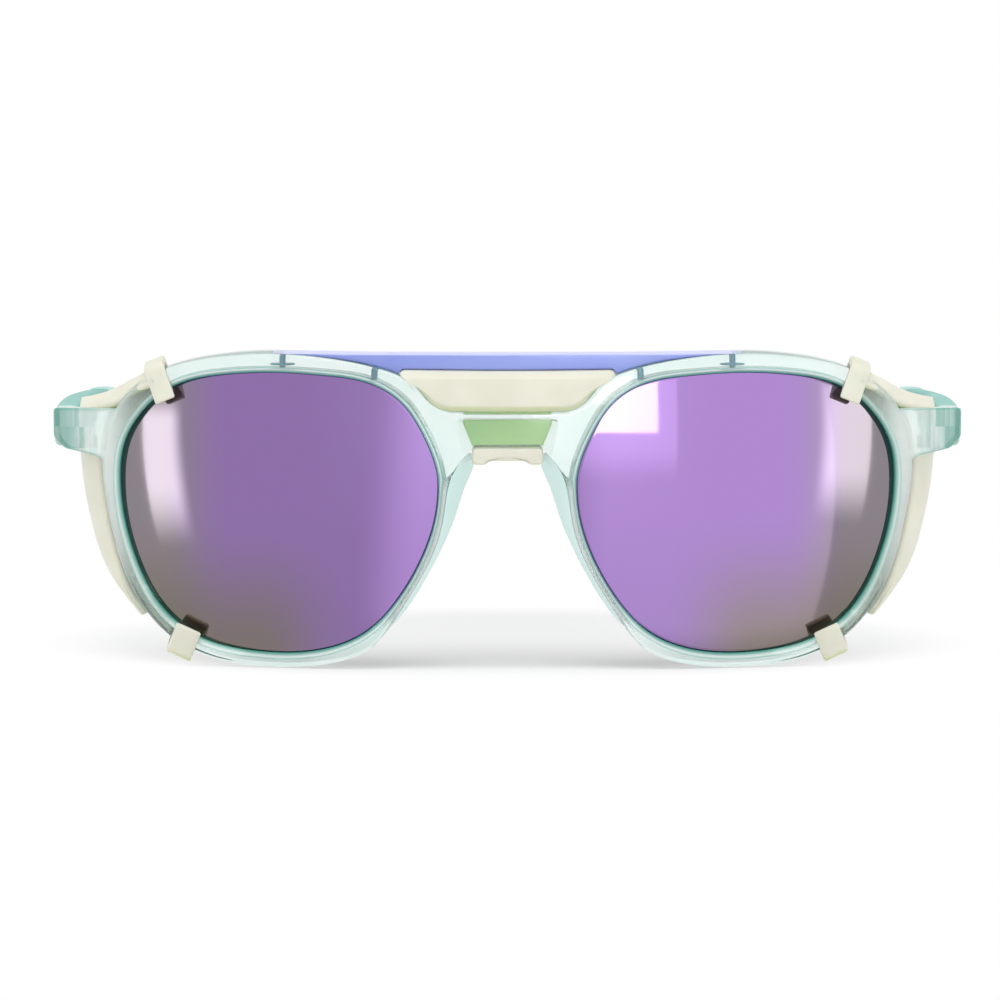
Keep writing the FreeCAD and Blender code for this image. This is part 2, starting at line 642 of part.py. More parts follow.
def temple_tip():
    """Soft sleeve over the wire, round the ear bend and down to the floor."""
    half = SLEEVE_HEIGHT / 2
    top, low = BEND_CENTRELINE_Z + half, BEND_CENTRELINE_Z - half
    tip = drop_point(DROP_LENGTH + half)
    face = side_profile([((SLEEVE_START, low), (SLEEVE_START, top)),
                         ((SLEEVE_START, top), (BEND_START, top)),
                         (bend_point(0, half), bend_point(BEND_ANGLE / 2, half), bend_point(BEND_ANGLE, half)),
                         (bend_point(BEND_ANGLE, half), drop_point(DROP_LENGTH, half)),
                         (drop_point(DROP_LENGTH, half), tip, drop_point(DROP_LENGTH, -half)),
                         (drop_point(DROP_LENGTH, -half), bend_point(BEND_ANGLE, -half)),
                         (bend_point(BEND_ANGLE, -half), bend_point(BEND_ANGLE / 2, -half), bend_point(0, -half)),
                         (bend_point(0, -half), (SLEEVE_START, low))])
    sleeve = face.extrude(V(2 * REACH, 0, 0)).common(bow_prism(SLEEVE_WALL))
    centre = lanyard_centre()
    hole = Part.makeCylinder(LANYARD_RADIUS, REACH, centre - V(REACH / 2, 0, 0), V(1, 0, 0))
    return sleeve.cut([core_wire(CORE_CLEARANCE), hole])


# ------------------------------------------------------------------ side shields
def hook(outline):
    """Hook round the rim: a plate in front, a plate behind and the turn outside."""
    points = [by_rim(u, v) for u, v in outline]
    block = through_front(points).common(layer(-SHIELD_FRONT_LAP, FRONT_THICKNESS + SHIELD_SKIN))
    return block.cut(PLATE)


def strap():
    """Skin behind the rim's outer side that joins the two hooks."""
    inside = by_rim(STRAP_FROM_EYE)[0]
    edge = [p for p in rim_edge().discretize(Number=240) if p.x > inside - 1.0]
    outside = [(p.x + SHIELD_LIP, p.z) for p in edge]
    blank = through_front([(inside, outside[0][1])] + outside[::6] + [(inside, outside[-1][1])])
    skin = blank.common(layer(FRONT_THICKNESS, FRONT_THICKNESS + SHIELD_SKIN))
    return skin.cut(eye_prism(-SHIELD_INNER_LAP))


def leaf():
    """Outer wall of the shield below the temple."""
    front_y = END_BACK_Y - LEAF_SETBACK
    stretch = (END_BOTTOM - LEAF_GAP) / DRAWN_LEAF_TOP
    wires = []
    for height, *stations in LEAF_SECTIONS:
        outer = [V(by_rim(out)[0], front_y + behind, height * stretch) for out, behind in stations]
        inner = [p - V(SHIELD_SKIN, 0, 0) for p in outer]
        wires.append(Part.Wire([Part.Arc(*outer).toShape(),
                                Part.LineSegment(outer[2], inner[2]).toShape(),
                                Part.Arc(inner[2], inner[1], inner[0]).toShape(),
                                Part.LineSegment(inner[0], outer[0]).toShape()]))
    return Part.makeLoft(wires, True, False)


def shield_arm():
    """Band from the upper hook, over the end piece, to above the temple.

    It starts at the height that the rim gives it and ends at the height of the end piece.
    """
    wires = []
    root, tip = ARM_SECTIONS[0][0], ARM_SECTIONS[-1][0]
    for out, (front_behind, front_up), (rear_behind, rear_up) in ARM_SECTIONS:
        x, rim_height = by_rim(out, DRAWN_END_RISE)
        base = rim_height + (END_TOP - rim_height) * (out - root) / (tip - root)
        face_y = TILTED.multVec(front_point(x, base + front_up)).y
        front_edge = V(x, face_y + front_behind, base + front_up)
        rear_edge = V(x, face_y + rear_behind, base + rear_up)
        wires.append(polygon([front_edge, rear_edge,
                              rear_edge + V(0, ARM_THICKNESS, -ARM_THICKNESS / 3),
                              front_edge + V(0, ARM_THICKNESS, 0)]))
    return Part.makeLoft(wires, True, False)


def side_shield():
    g = SHIELD_CLEARANCE
    rear = stood_up(joined(hook(UPPER_HOOK), hook(LOWER_HOOK), strap()))
    keep_off = box(SIDE_X - END_WIDTH - g, SIDE_X + REACH, END_BACK_Y - REACH, END_BACK_Y + g,
                   END_BOTTOM - END_GUSSET - g, END_TOP + g)
    knuckles = box(HINGE_X - KNUCKLE_RADIUS - g, SIDE_X + REACH, END_BACK_Y - 1.0,
                   HINGE_Y + KNUCKLE_RADIUS + g, END_BOTTOM - g, END_TOP + g)
    return joined(rear, leaf(), shield_arm()).cut([keep_off, knuckles, stood_up(PLATE)])


# ------------------------------------------------------------------ the assembly
def pairs():
    """Pieces of the right-hand side that have a mirror image on the left."""
    return {"lens": lens(), "nose_pad": nose_pad(), "side_shield": side_shield(),
            "temple_arm": temple_arm(), "temple_core": core_wire(), "temple_tip": temple_tip(),
            "hinge_screw": hinge_screw(), "hinge_nut": hinge_nut()}


def assembly():
    nodes = {"front_frame": front_frame(), "brow_bar": brow_bar(), "bridge_guard": bridge_guard(),
             "nose_saddle": nose_saddle()}
    for name, shape in pairs().items():
        nodes[name + "_right"] = shape
        nodes[name + "_left"] = mirrored(shape)
    return nodes


def main():
    nodes = assembly()
    whole = Part.makeCompound(list(nodes.values())).optimalBoundingBox(False, False)
    shift = V(0, -(whole.YMin + whole.YMax) / 2, 0)
    os.makedirs("parts", exist_ok=True)
    for name, shape in nodes.items():
        shape.translate(shift)
        shape.exportStep("parts/" + name + ".step")
        print("%-20s solids %d valid %s volume %.1f" % (name, len(shape.Solids), shape.isValid(), shape.Volume))
    print("box", whole.XLength, whole.YLength, whole.ZLength)
    print("right hinge axis", HINGE_X, HINGE_Y + shift.y, (END_TOP + END_BOTTOM) / 2)
    print("right lanyard hole", *(lanyard_centre() + shift))


main()
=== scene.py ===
# %% [markdown]
# # Glacier glasses
# Mountain sunglasses in clear mint plastic, with purple mirror lenses, a periwinkle brow
# bar, and soft cream parts that keep glare out at the bridge and the sides.
# The engineering model comes first: it fixes every place and size. Each cell after that
# makes one piece, or one finish, and prints what it made. Lengths are in millimetres until
# a mesh is made. The lenses face -Y, up is +Z, and the right half is the one at +X.

# %% The engineering model
import math

import bmesh
import bpy
import numpy as np
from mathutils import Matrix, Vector


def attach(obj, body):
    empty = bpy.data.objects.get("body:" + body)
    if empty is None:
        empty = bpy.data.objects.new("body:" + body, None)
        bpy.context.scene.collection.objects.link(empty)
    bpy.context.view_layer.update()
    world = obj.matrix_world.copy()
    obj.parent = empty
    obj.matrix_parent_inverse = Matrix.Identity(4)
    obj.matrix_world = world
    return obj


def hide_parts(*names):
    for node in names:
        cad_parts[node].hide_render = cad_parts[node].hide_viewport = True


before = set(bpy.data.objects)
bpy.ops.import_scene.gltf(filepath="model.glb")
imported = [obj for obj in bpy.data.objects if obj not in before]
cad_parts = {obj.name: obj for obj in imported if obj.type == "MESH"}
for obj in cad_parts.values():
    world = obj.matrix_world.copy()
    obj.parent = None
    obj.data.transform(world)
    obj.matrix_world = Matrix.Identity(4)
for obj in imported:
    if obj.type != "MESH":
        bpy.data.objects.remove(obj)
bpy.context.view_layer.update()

# %% [markdown]
# ## Arrays into meshes
# Almost every piece here is a row of loops: closed outlines of equal length, one after
# another, like the ribs of a boat. A rib can shrink to round an edge or to close an end.
# Modelling by hand would do too, but arrays keep every size open to be changed.

# %% From loops to a mesh
MM = 0.001
CREASE = math.radians(35)
SIDES = (("right", np.array([1.0, 1.0, 1.0])), ("left", np.array([-1.0, 1.0, 1.0])))


def shaded(mesh):
    """Smooth shading, with a crease wherever two faces turn by more than 35 degrees."""
    mesh.polygons.foreach_set("use_smooth", np.ones(len(mesh.polygons), bool))
    mesh.set_sharp_from_angle(angle=CREASE)


def piece(name, points, faces):
    """A shaded object from points in millimetres and faces."""
    mesh = bpy.data.meshes.new(name)
    mesh.from_pydata((np.asarray(points, float) * MM).tolist(), [], faces)
    shaded(mesh)
    made = bpy.data.objects.new(name, mesh)
    bpy.context.scene.collection.objects.link(made)
    return made


def wall(rows, columns, close_rows=False):
    """Quads of a grid of points numbered row by row, each (i, j), (i, j + 1), (i + 1, j + 1)
    and (i + 1, j). The columns close on themselves, and the rows do if asked."""
    i = np.arange(rows if close_rows else rows - 1)[:, None] * columns
    j = np.arange(columns)[None]
    k = (j + 1) % columns
    up = (i + columns) % (rows * columns)
    return np.stack([i + j, i + k, up + k, up + j], -1).reshape(-1, 4)


def ribs(loops, first=0):
    """Points and faces of a closed skin whose points are numbered from first: a wall between
    the loops, and at each end a fan of triangles to the loop's middle."""
    rows, columns = loops.shape[:2]
    points = np.vstack([loops.reshape(-1, 3), loops[[0, -1]].mean(1)])
    j = np.arange(columns)
    k = (j + 1) % columns
    low, last = np.full(columns, rows * columns), (rows - 1) * columns
    fans = np.vstack([np.stack([k, j, low], 1), np.stack([last + j, last + k, low + 1], 1)])
    return points, (wall(rows, columns) + first).tolist() + (fans + first).tolist()


def outward(made):
    """Turns the faces of a closed object outwards."""
    bm = bmesh.new()
    bm.from_mesh(made.data)
    bmesh.ops.recalc_face_normals(bm, faces=bm.faces)
    bm.to_mesh(made.data)
    bm.free()
    return made


def ribbed(name, *skins):
    """One object from one set of loops, or from several whose skins touch or overlap. Each
    is closed at both ends, with its faces outwards."""
    points, faces = np.zeros((0, 3)), []
    for loops in skins:
        more_points, more_faces = ribs(loops, len(points))
        points, faces = np.vstack([points, more_points]), faces + more_faces
    return outward(piece(name, points, faces))


print("3 loops of 4 points make a wall of", len(wall(3, 4)), "faces")

# %% [markdown]
# ## Curves
# The outlines are drawn by a few measured points. Straight lines or arcs between them
# would leave kinks, and a shiny edge shows each one. A cubic spline goes through the
# points with no kink in its curvature.

# %% Splines and rounded corners
def spaced(line, count, endpoint):
    """The line's points at count evenly spaced distances along it."""
    run = np.concatenate([[0.0], np.cumsum(np.linalg.norm(np.diff(line, axis=0), axis=1))])
    at = np.linspace(0, run[-1], count, endpoint=endpoint)
    return np.stack([np.interp(at, run, line[:, c]) for c in range(line.shape[1])], 1)


def smooth(points, count, closed=False):
    """Cubic spline through the points: each span is a cubic, slope and curvature agree at
    every point, and the parameter is the chord length. Gives count evenly spaced points."""
    p = np.asarray(points, float)
    if closed:
        p = np.vstack([p, p[:1]])
    h = np.linalg.norm(np.diff(p, axis=0), axis=1)
    t = np.concatenate([[0.0], np.cumsum(h)])
    n = len(p)
    slope = np.diff(p, axis=0) / h[:, None]
    matrix, right = np.zeros((n, n)), np.zeros_like(p)
    i = np.arange(1, n - 1)
    matrix[i, i - 1], matrix[i, i], matrix[i, i + 1] = h[:-1], 2 * (h[:-1] + h[1:]), h[1:]
    right[i] = 6 * (slope[1:] - slope[:-1])
    if closed:
        matrix[0, 0], matrix[0, -1] = 1, -1
        matrix[-1, 0], matrix[-1, -1] = 2 * h[0], 2 * h[-1]
        matrix[-1, 1] += h[0]
        matrix[-1, -2] += h[-1]
        right[-1] = 6 * (slope[0] - slope[-1])
    else:
        matrix[0, 0] = matrix[-1, -1] = 1
    bend = np.linalg.solve(matrix, right)
    s = np.linspace(0, t[-1], 40 * n)
    k = np.clip(np.searchsorted(t, s, side="right") - 1, 0, n - 2)
    a, b, hk = ((t[k + 1] - s) / h[k])[:, None], ((s - t[k]) / h[k])[:, None], h[k][:, None]
    fine = (a * p[k] + b * p[k + 1]
            + ((a ** 3 - a) * bend[k] + (b ** 3 - b) * bend[k + 1]) * hk ** 2 / 6)
    return spaced(fine, count, not closed)


def rounded(corners, cut, steps=5):
    """Closed outlines whose corners are cut back and turned by a parabola: start, corner and
    end weighted by (1-s)^2, 2s(1-s) and s^2. Works on any stack of outlines at once."""
    c = np.asarray(corners, float)
    before, after = np.roll(c, 1, -2) - c, np.roll(c, -1, -2) - c
    long_before, long_after = (np.linalg.norm(way, axis=-1) for way in (before, after))
    reach = np.minimum(cut, 0.48 * np.minimum(long_before, long_after))[..., None]
    start = (c + before / long_before[..., None] * reach)[..., None, :]
    end = (c + after / long_after[..., None] * reach)[..., None, :]
    s = np.linspace(0, 1, steps)[:, None]
    turned = (1 - s) ** 2 * start + 2 * s * (1 - s) * c[..., None, :] + s ** 2 * end
    return turned.reshape(c.shape[:-2] + (-1, c.shape[-1]))


def even(loop, count):
    """The same closed outline with count evenly spaced points."""
    return spaced(np.vstack([loop, loop[:1]]), count, False)


def inset(loop, distance):
    """A flat outline moved inwards by a distance, square to its own direction."""
    along = np.roll(loop, -1, 0) - np.roll(loop, 1, 0)
    ahead = np.roll(loop, -1, 0)
    area = np.sum(loop[:, 0] * ahead[:, 1] - ahead[:, 0] * loop[:, 1])
    square = np.stack([-along[:, 1], along[:, 0]], 1) * np.sign(area)
    return loop + square / np.linalg.norm(square, axis=1)[:, None] * distance


eighths = np.arange(8) * math.pi / 4
ring = smooth(np.column_stack([np.cos(eighths), np.sin(eighths)]), 100, closed=True)
print("a spline through 8 points of a circle of radius 1 leaves it by",
      np.abs(np.linalg.norm(ring, axis=1) - 1).max().round(4))

# %% [markdown]
# ## Where the front stands
# Real fronts are cut or moulded on a curve, so that they follow the brow. This one is
# drawn upright, with its face on a ball of 160 mm. It is then tilted by nine degrees, so
# that the lenses look a little down, as they do on a face.

# %% The front's own frame
TILT = math.radians(9.0)
SETBACK = 8.0                       # moves the tilted front back
LIFT = -1.0209360156463048          # sets the rims' lowest points on the floor
TO_MIDDLE = -72.24641504736162      # sets the middle of the part's whole depth at y = 0
BALL_RADIUS, BALL_HEIGHT = 160.0, 25.5
BALL_CENTRE = np.array([0.0, BALL_RADIUS, BALL_HEIGHT])
EYE_X, EYE_Z = 36.7, 25.3           # the right eye's centre on the upright face
EYE_TURN = math.asin(EYE_X / BALL_RADIUS)
ACROSS = np.array([math.cos(EYE_TURN), math.sin(EYE_TURN), 0.0])
UP = np.array([0.0, 0.0, 1.0])


def stood_up(p):
    """A turn by the tilt about the left-right axis, then the setback and the lift."""
    c, s = math.cos(TILT), math.sin(TILT)
    return np.stack([p[..., 0], c * p[..., 1] - s * p[..., 2] + SETBACK + TO_MIDDLE,
                     s * p[..., 1] + c * p[..., 2] + LIFT], -1)


def face_y(x, z, depth=0.0):
    """Place of the ball's front at x and z, or a depth behind it:
    y = 160 - sqrt((160 - depth)^2 - x^2 - (z - 25.5)^2)."""
    return BALL_RADIUS - np.sqrt((BALL_RADIUS - depth) ** 2 - x ** 2 - (z - BALL_HEIGHT) ** 2)


def on_face(xz, depth=0.0):
    """Upright points given by x and z, laid on the ball or a depth behind it."""
    return np.column_stack([xz[:, 0], face_y(xz[:, 0], xz[:, 1], depth), xz[:, 1]])


def mirrored(points):
    """The same points on the other side of the nose."""
    return points * np.array([-1.0, 1.0, 1.0])


EYE_CENTRE = np.array([EYE_X, float(face_y(EYE_X, EYE_Z)), EYE_Z])
print("eye centre", EYE_CENTRE.round(2), "turned by", round(math.degrees(EYE_TURN), 1), "degrees")

# %% [markdown]
# ## The clear front
# One moulding: two rims, the lower bridge, the end pieces and the hinge ears. A flat plate
# with holes would be quicker, but in clear plastic every edge shows, inside as well as
# outside. So the rim's real section is carried round the eye: face, bevel, groove for the
# lens, rear face and rounded edges.

# %% Outlines of the rim
EYE_SHAPE = [(0.0, 22.9), (9.7, 22.1), (17.4, 20.0), (23.3, 15.2), (26.4, 9.6), (27.0, 4.3),
             (26.4, -1.8), (24.3, -9.2), (20.2, -16.6), (13.5, -21.3), (4.5, -22.9),
             (-5.0, -22.4), (-13.0, -19.4), (-19.0, -13.5), (-23.3, -6.0), (-25.5, 1.0),
             (-25.6, 7.4), (-23.3, 13.6), (-19.5, 18.9), (-14.5, 21.7), (-7.5, 22.7)]
RIM_SHAPE = [(-27.4, 17.5), (-25.4, 18.0), (-23.3, 20.2), (-20.4, 22.6), (-16.5, 24.1),
             (-8.3, 25.5), (0.3, 25.9), (9.3, 25.0), (17.3, 22.9), (23.6, 19.0), (27.3, 13.0),
             (28.4, 5.7), (27.5, -1.3), (25.7, -9.1), (22.3, -16.3), (16.8, -21.9),
             (9.3, -24.8), (0.8, -25.3), (-7.7, -24.4), (-14.7, -21.4), (-19.4, -15.0),
             (-23.8, -7.3), (-26.3, 0.7), (-27.8, 7.7), (-31.1, 11.6)]
BRIDGE_TOP, BRIDGE_LOW = EYE_Z + 17.5, EYE_Z + 11.6
MIDDLE_U = -EYE_X / math.cos(EYE_TURN)      # the middle of the nose, seen from the eye
FRONT_DEPTH = 4.0

eye_line = smooth(EYE_SHAPE, 900, closed=True)
rim_xz = smooth(RIM_SHAPE, 900) + [EYE_X, EYE_Z]
print("eye opening", np.ptp(eye_line, axis=0).round(1), "mm")


# %% Places square to the lens
LEAN_START, LEAN_RUN = 27.5, 9.0            # where the section turns towards the middle
LENS_RADIUS, LENS_THICKNESS, LENS_PROUD = 88.0, 1.8, 0.3


def lean(u):
    """Direction of the section at u: square to the lens, and straight back by the middle.
    The turn fades as 1 - s^2 (3 - 2s)."""
    s = np.clip((-u - LEAN_START) / LEAN_RUN, 0, 1)
    turn = EYE_TURN * (1 - s * s * (3 - 2 * s))
    return np.stack([-np.sin(turn), np.cos(turn), np.zeros_like(turn)], -1)


def from_eye(uv, travel):
    """Eye centre + u across + v up + travel along the lean."""
    return (EYE_CENTRE + uv[..., :1] * ACROSS + uv[..., 1:] * UP
            + travel[..., None] * lean(uv[..., 0]))


def to_ball(uv, depth):
    """Travel from the eye plane to the ball: t = -b - sqrt(b^2 - c), the nearer root."""
    away = from_eye(uv, np.zeros(uv.shape[:-1])) - BALL_CENTRE
    b = np.sum(away * lean(uv[..., 0]), -1)
    c = np.sum(away * away, -1) - (BALL_RADIUS - depth) ** 2
    return -b - np.sqrt(b * b - c)


def to_lens(uv, depth):
    """Travel from the eye plane to the lens: centre distance - sqrt(radius^2 - u^2 - v^2)."""
    return LENS_RADIUS - LENS_PROUD - np.sqrt((LENS_RADIUS - depth) ** 2 - np.sum(uv * uv, -1))


def to_plane(xz):
    """(u, v) of points given by x and z on the face, seen along the lean."""
    seen = on_face(xz) - EYE_CENTRE
    way = lean((xz[:, 0] - EYE_X) / math.cos(EYE_TURN))
    cross = ACROSS[0] * way[:, 1] - ACROSS[1] * way[:, 0]
    u = (seen[:, 0] * way[:, 1] - seen[:, 1] * way[:, 0]) / cross
    return np.stack([u, seen[:, 2]], 1)


print("the section's way back, at the middle of the nose and at the eye:",
      lean(np.array([MIDDLE_U, 0.0])).round(2).tolist())

# %% The rim's outer edge, closed at the middle of the nose
def normal_of(path):
    """Left of the way along the path, which is outwards when it runs clockwise."""
    along = np.gradient(path, axis=0)
    square = np.stack([-along[:, 1], along[:, 0]], 1)
    return square / np.linalg.norm(square, axis=1)[:, None]


EDGE_STEPS, SHUT_STEPS = 400, 10
MIDDLE_MARGIN = 0.6                         # from the middle wall's ends to its first points
edge = to_plane(rim_xz)
edge = smooth(edge[np.linspace(0, len(edge) - 1, 50).round().astype(int)], EDGE_STEPS)
top_line = np.linspace((MIDDLE_U, edge[0, 1]), edge[0], 22)[:-1]
low_line = np.linspace(edge[-1], (MIDDLE_U, edge[-1, 1]), 14)[1:]
shut = np.linspace((MIDDLE_U, edge[-1, 1] + MIDDLE_MARGIN),
                   (MIDDLE_U, edge[0, 1] - MIDDLE_MARGIN), SHUT_STEPS)
outer = np.vstack([top_line, edge, low_line, shut])
last_low = len(outer) - SHUT_STEPS - 1
outer_normal = np.vstack([normal_of(outer[:last_low + 1]),
                          np.tile([-1.0, 0.0], (SHUT_STEPS, 1))])
outer_normal[0], outer_normal[last_low] = (0.0, 1.0), (0.0, -1.0)
at_middle, corner = np.zeros((2, len(outer)), bool)
at_middle[last_low:] = at_middle[0] = True
corner[last_low] = corner[0] = True
print(len(outer), "stations round the rim,", at_middle.sum(), "of them at the middle")


# %% Each station's partner on the eye opening
def clockwise_angle(uv):
    """Angle round the eye centre, growing clockwise from 159 degrees, above the bridge."""
    return np.mod(math.radians(159.0) - np.arctan2(uv[:, 1], uv[:, 0]), 2 * math.pi)


def eye_at(angle, values):
    """A value known round the eye opening, read off at other angles."""
    return np.stack([np.interp(angle, eye_angle[order], values[order, c], period=2 * math.pi)
                     for c in range(2)], 1)


eye_angle = clockwise_angle(eye_line)
order = np.argsort(eye_angle)
eye_normal = normal_of(np.vstack([eye_line[-1:], eye_line, eye_line[:1]]))[1:-1]
nose_side = np.where(eye_line[:, 0] < -18)[0]
nose_side = nose_side[np.argsort(eye_line[nose_side, 1])]
nose_angle = np.where(eye_angle < 1.0, eye_angle + 2 * math.pi, eye_angle)[nose_side]

# By the nose the rim widens into the bridge. There a station's partner is found by height,
# not by angle: these heights on the rim's edge go with these on the opening.
RIM_HEIGHTS, EYE_HEIGHTS = [4.0, 6.6, 9.5, 11.6], [3.9, 6.3, 9.7, 12.1]
MIDDLE_HEIGHT = 13.2
second_half = np.arange(EDGE_STEPS) > EDGE_STEPS // 2
by_nose = second_half & (edge[:, 0] < 0) & (edge[:, 1] > RIM_HEIGHTS[0])
first_edge, last_edge = len(top_line), len(top_line) + EDGE_STEPS - 1
turning = first_edge + int(np.argmax(by_nose))
run = np.cumsum(np.linalg.norm(np.diff(outer[last_edge:], axis=0), axis=1))
rise = (MIDDLE_HEIGHT - EYE_HEIGHTS[-1]) * run / (run[-1] + MIDDLE_MARGIN)
height = np.concatenate([np.interp(outer[turning:last_edge + 1, 1], RIM_HEIGHTS, EYE_HEIGHTS),
                         EYE_HEIGHTS[-1] + rise])
station = clockwise_angle(outer)
station[turning:] = np.interp(height, eye_line[nose_side, 1], nose_angle)
begin = float(np.interp(MIDDLE_HEIGHT, eye_line[nose_side, 1], nose_angle)) - 2 * math.pi
station[:first_edge] = np.linspace(begin, station[first_edge], first_edge, endpoint=False)
inner, inner_normal = eye_at(station, eye_line), eye_at(station, eye_normal)
print("inner normal out of the opening:", bool(np.mean(np.sum(inner_normal * inner, 1)) > 0))

# %% The rim's section, carried round
GROOVE = 0.65                                   # how deep the lens sits in the rim
PLAY = 0.05                                     # between the lens and its groove
REAR_BEVEL = 0.25
EDGE_ROWS, INNER_ROWS = slice(8, 18), slice(26, None)
width = np.linalg.norm(outer - inner, axis=1)
bevel = np.minimum(0.8, 0.42 * width)           # the chamfer round the opening
round_edge = np.minimum(0.45, 0.3 * width)      # the radius along the outline
print("rim width", width.min().round(2), "to", width.max().round(2), "mm")


def section():
    """Loops of (u, v, travel): the face and rear go in even steps from the opening to the
    edge; an edge of radius e follows e*sin(a) outwards and e*(1 - cos(a)) in depth."""
    swell = np.where(at_middle & ~corner, 0.0, round_edge)[:, None] * outer_normal
    a, b = inner + bevel[:, None] * inner_normal, outer - swell
    line = np.minimum(0.22, 0.2 * width) / np.linalg.norm(b - a, axis=1)
    steps = [0 * line, line, 2 * line]
    steps += [np.full(len(outer), s) for s in (0.42, 0.55, 0.67, 0.78, 0.89, 1.0)]
    places = [(a + (b - a) * s[:, None], "ball", 0.0) for s in steps]
    turn = np.radians([22.5, 45.0, 67.5, 90.0])
    places += [(b + swell * math.sin(t), "ball", round_edge * (1 - math.cos(t))) for t in turn]
    places += [(b + swell * math.sin(t), "ball", FRONT_DEPTH - round_edge * (1 - math.cos(t)))
               for t in turn[::-1]]
    c = inner + REAR_BEVEL * inner_normal
    places += [(b + (c - b) * s, "ball", FRONT_DEPTH) for s in np.linspace(0, 1, 9)]
    seat = inner + GROOVE * inner_normal
    places += [(inner, "ball", FRONT_DEPTH - REAR_BEVEL),
               (inner, "lens", LENS_THICKNESS + PLAY), (seat, "lens", LENS_THICKNESS + PLAY),
               (seat, "lens", -PLAY), (inner, "lens", -PLAY), (inner, "ball", bevel)]
    reach = [(to_ball if kind == "ball" else to_lens)(uv, depth) for uv, kind, depth in places]
    return np.stack([from_eye(uv, t) for (uv, _, _), t in zip(places, reach)], 1)


half = section()
half[at_middle, EDGE_ROWS, 0] = 0.0
half[..., 0] = np.maximum(half[..., 0], 0.0)
print("section of", half.shape[1], "points; thinnest x", half[..., 0].min().round(3))


# %% Marks for painted light on the opening's wall, and for thin walls
marks = []              # points with their shares of edge and of thin wall
MARK_STEP = 0.002


def numbered(points, shift):
    """One whole number for each point: its x, y and z in steps of 2 microns, packed as
    three numbers of 21 bits."""
    steps = np.floor(points / MARK_STEP + shift).astype(np.int64) + 2 ** 19
    return steps @ np.array([2 ** 42, 2 ** 21, 1])


def mark(made):
    """Writes the shares onto the vertices of a skin that still lie on marked points. Two
    sets of steps, half a step apart, catch a point that lies on the border of a step."""
    points = np.vstack([m[0] for m in marks])
    shares = np.stack([np.concatenate([m[k] for m in marks]) for k in (1, 2)])
    at = np.zeros(len(made.data.vertices) * 3)
    made.data.vertices.foreach_get("co", at)
    found = np.zeros((2, len(made.data.vertices)), np.float32)
    for shift in (0.0, 0.5):
        known, first = np.unique(numbered(points, shift), return_index=True)
        here = numbered(at.reshape(-1, 3) / MM, shift)
        place = np.clip(np.searchsorted(known, here), 0, len(known) - 1)
        same = known[place] == here
        found[:, same] = np.maximum(found[:, same], shares[:, first[place[same]]])
    for name, values in zip(("cut", "thin"), found):
        if name in made.data.attributes:
            made.data.attributes.remove(made.data.attributes[name])
        made.data.attributes.new(name, "FLOAT", "POINT").data.foreach_set("value", values)
    print("marked:", (found[0] > 0).sum(), "on the edge,", (found[1] > 0).sum(), "thin, of",
          len(found[0]))


# %% Both halves in one skin
WELD = 0.001            # points closer than this become one
NOSE_EDGE_U = -15       # the opening's wall is marked more faintly on the nose's side


def front_skin():
    """The right half and its mirror image, sewn along the middle where each half is open."""
    rows, columns = half.shape[:2]
    points = stood_up(half.reshape(-1, 3))
    faces = wall(rows, columns, close_rows=True)
    open_middle = np.all(np.abs(points[faces][..., 0]) < 1e-6, axis=1)
    faces = faces[~open_middle]
    both = np.vstack([points, mirrored(points)])
    made = piece("front_moulding", both, np.vstack([faces, faces[:, ::-1] + len(points)]).tolist())
    cut, thin = np.zeros((2, 2, rows, columns))
    cut[..., INNER_ROWS] = np.where(inner[:, :1] < NOSE_EDGE_U, 0.6, 1.0)
    cut[..., 0], cut[..., -1] = 0.4, 0.8
    thin[...] = np.interp(width, [1.2, 2.0], [1.0, 0.0])[None, :, None]
    marks.append((both, cut.ravel(), thin.ravel()))
    bm = bmesh.new()
    bm.from_mesh(made.data)
    bmesh.ops.remove_doubles(bm, verts=bm.verts, dist=WELD * MM)
    bmesh.ops.recalc_face_normals(bm, faces=bm.faces)
    loose = sum(e.is_boundary or not e.is_manifold for e in bm.edges)
    bm.to_mesh(made.data)
    bm.free()
    return made, loose


front, loose = front_skin()
print("front:", len(front.data.polygons), "faces, open edges:", loose)

# %% [markdown]
# ## End pieces and hinge ears
# Each end piece is a small block on the rim's outer corner, with the front's own curved
# face. It carries two round ears, and the temple's knuckle turns between them on a screw.
# The block, the ears and the rims are one moulding. Left as overlapping pieces, their
# hidden walls would show in clear plastic, so they are united into one skin.

# %% Blocks with rounded edges
HINGE_X, SIDE_X, END_TOP, END_BOTTOM = 67.0, 73.1, 41.5, 35.0
END_DEPTH, HINGE_SETBACK, END_CHAMFER = 6.0, 2.2, 1.8
KNUCKLE_RADIUS = 1.9
EAR_GAP = 0.1
EAR_HEIGHT = (END_TOP - END_BOTTOM - 4 * EAR_GAP) / 3
end_middle = np.array([[HINGE_X, (END_TOP + END_BOTTOM) / 2]])
END_BACK = float(stood_up(on_face(end_middle))[0, 1]) + END_DEPTH
HINGE_Y = END_BACK + HINGE_SETBACK


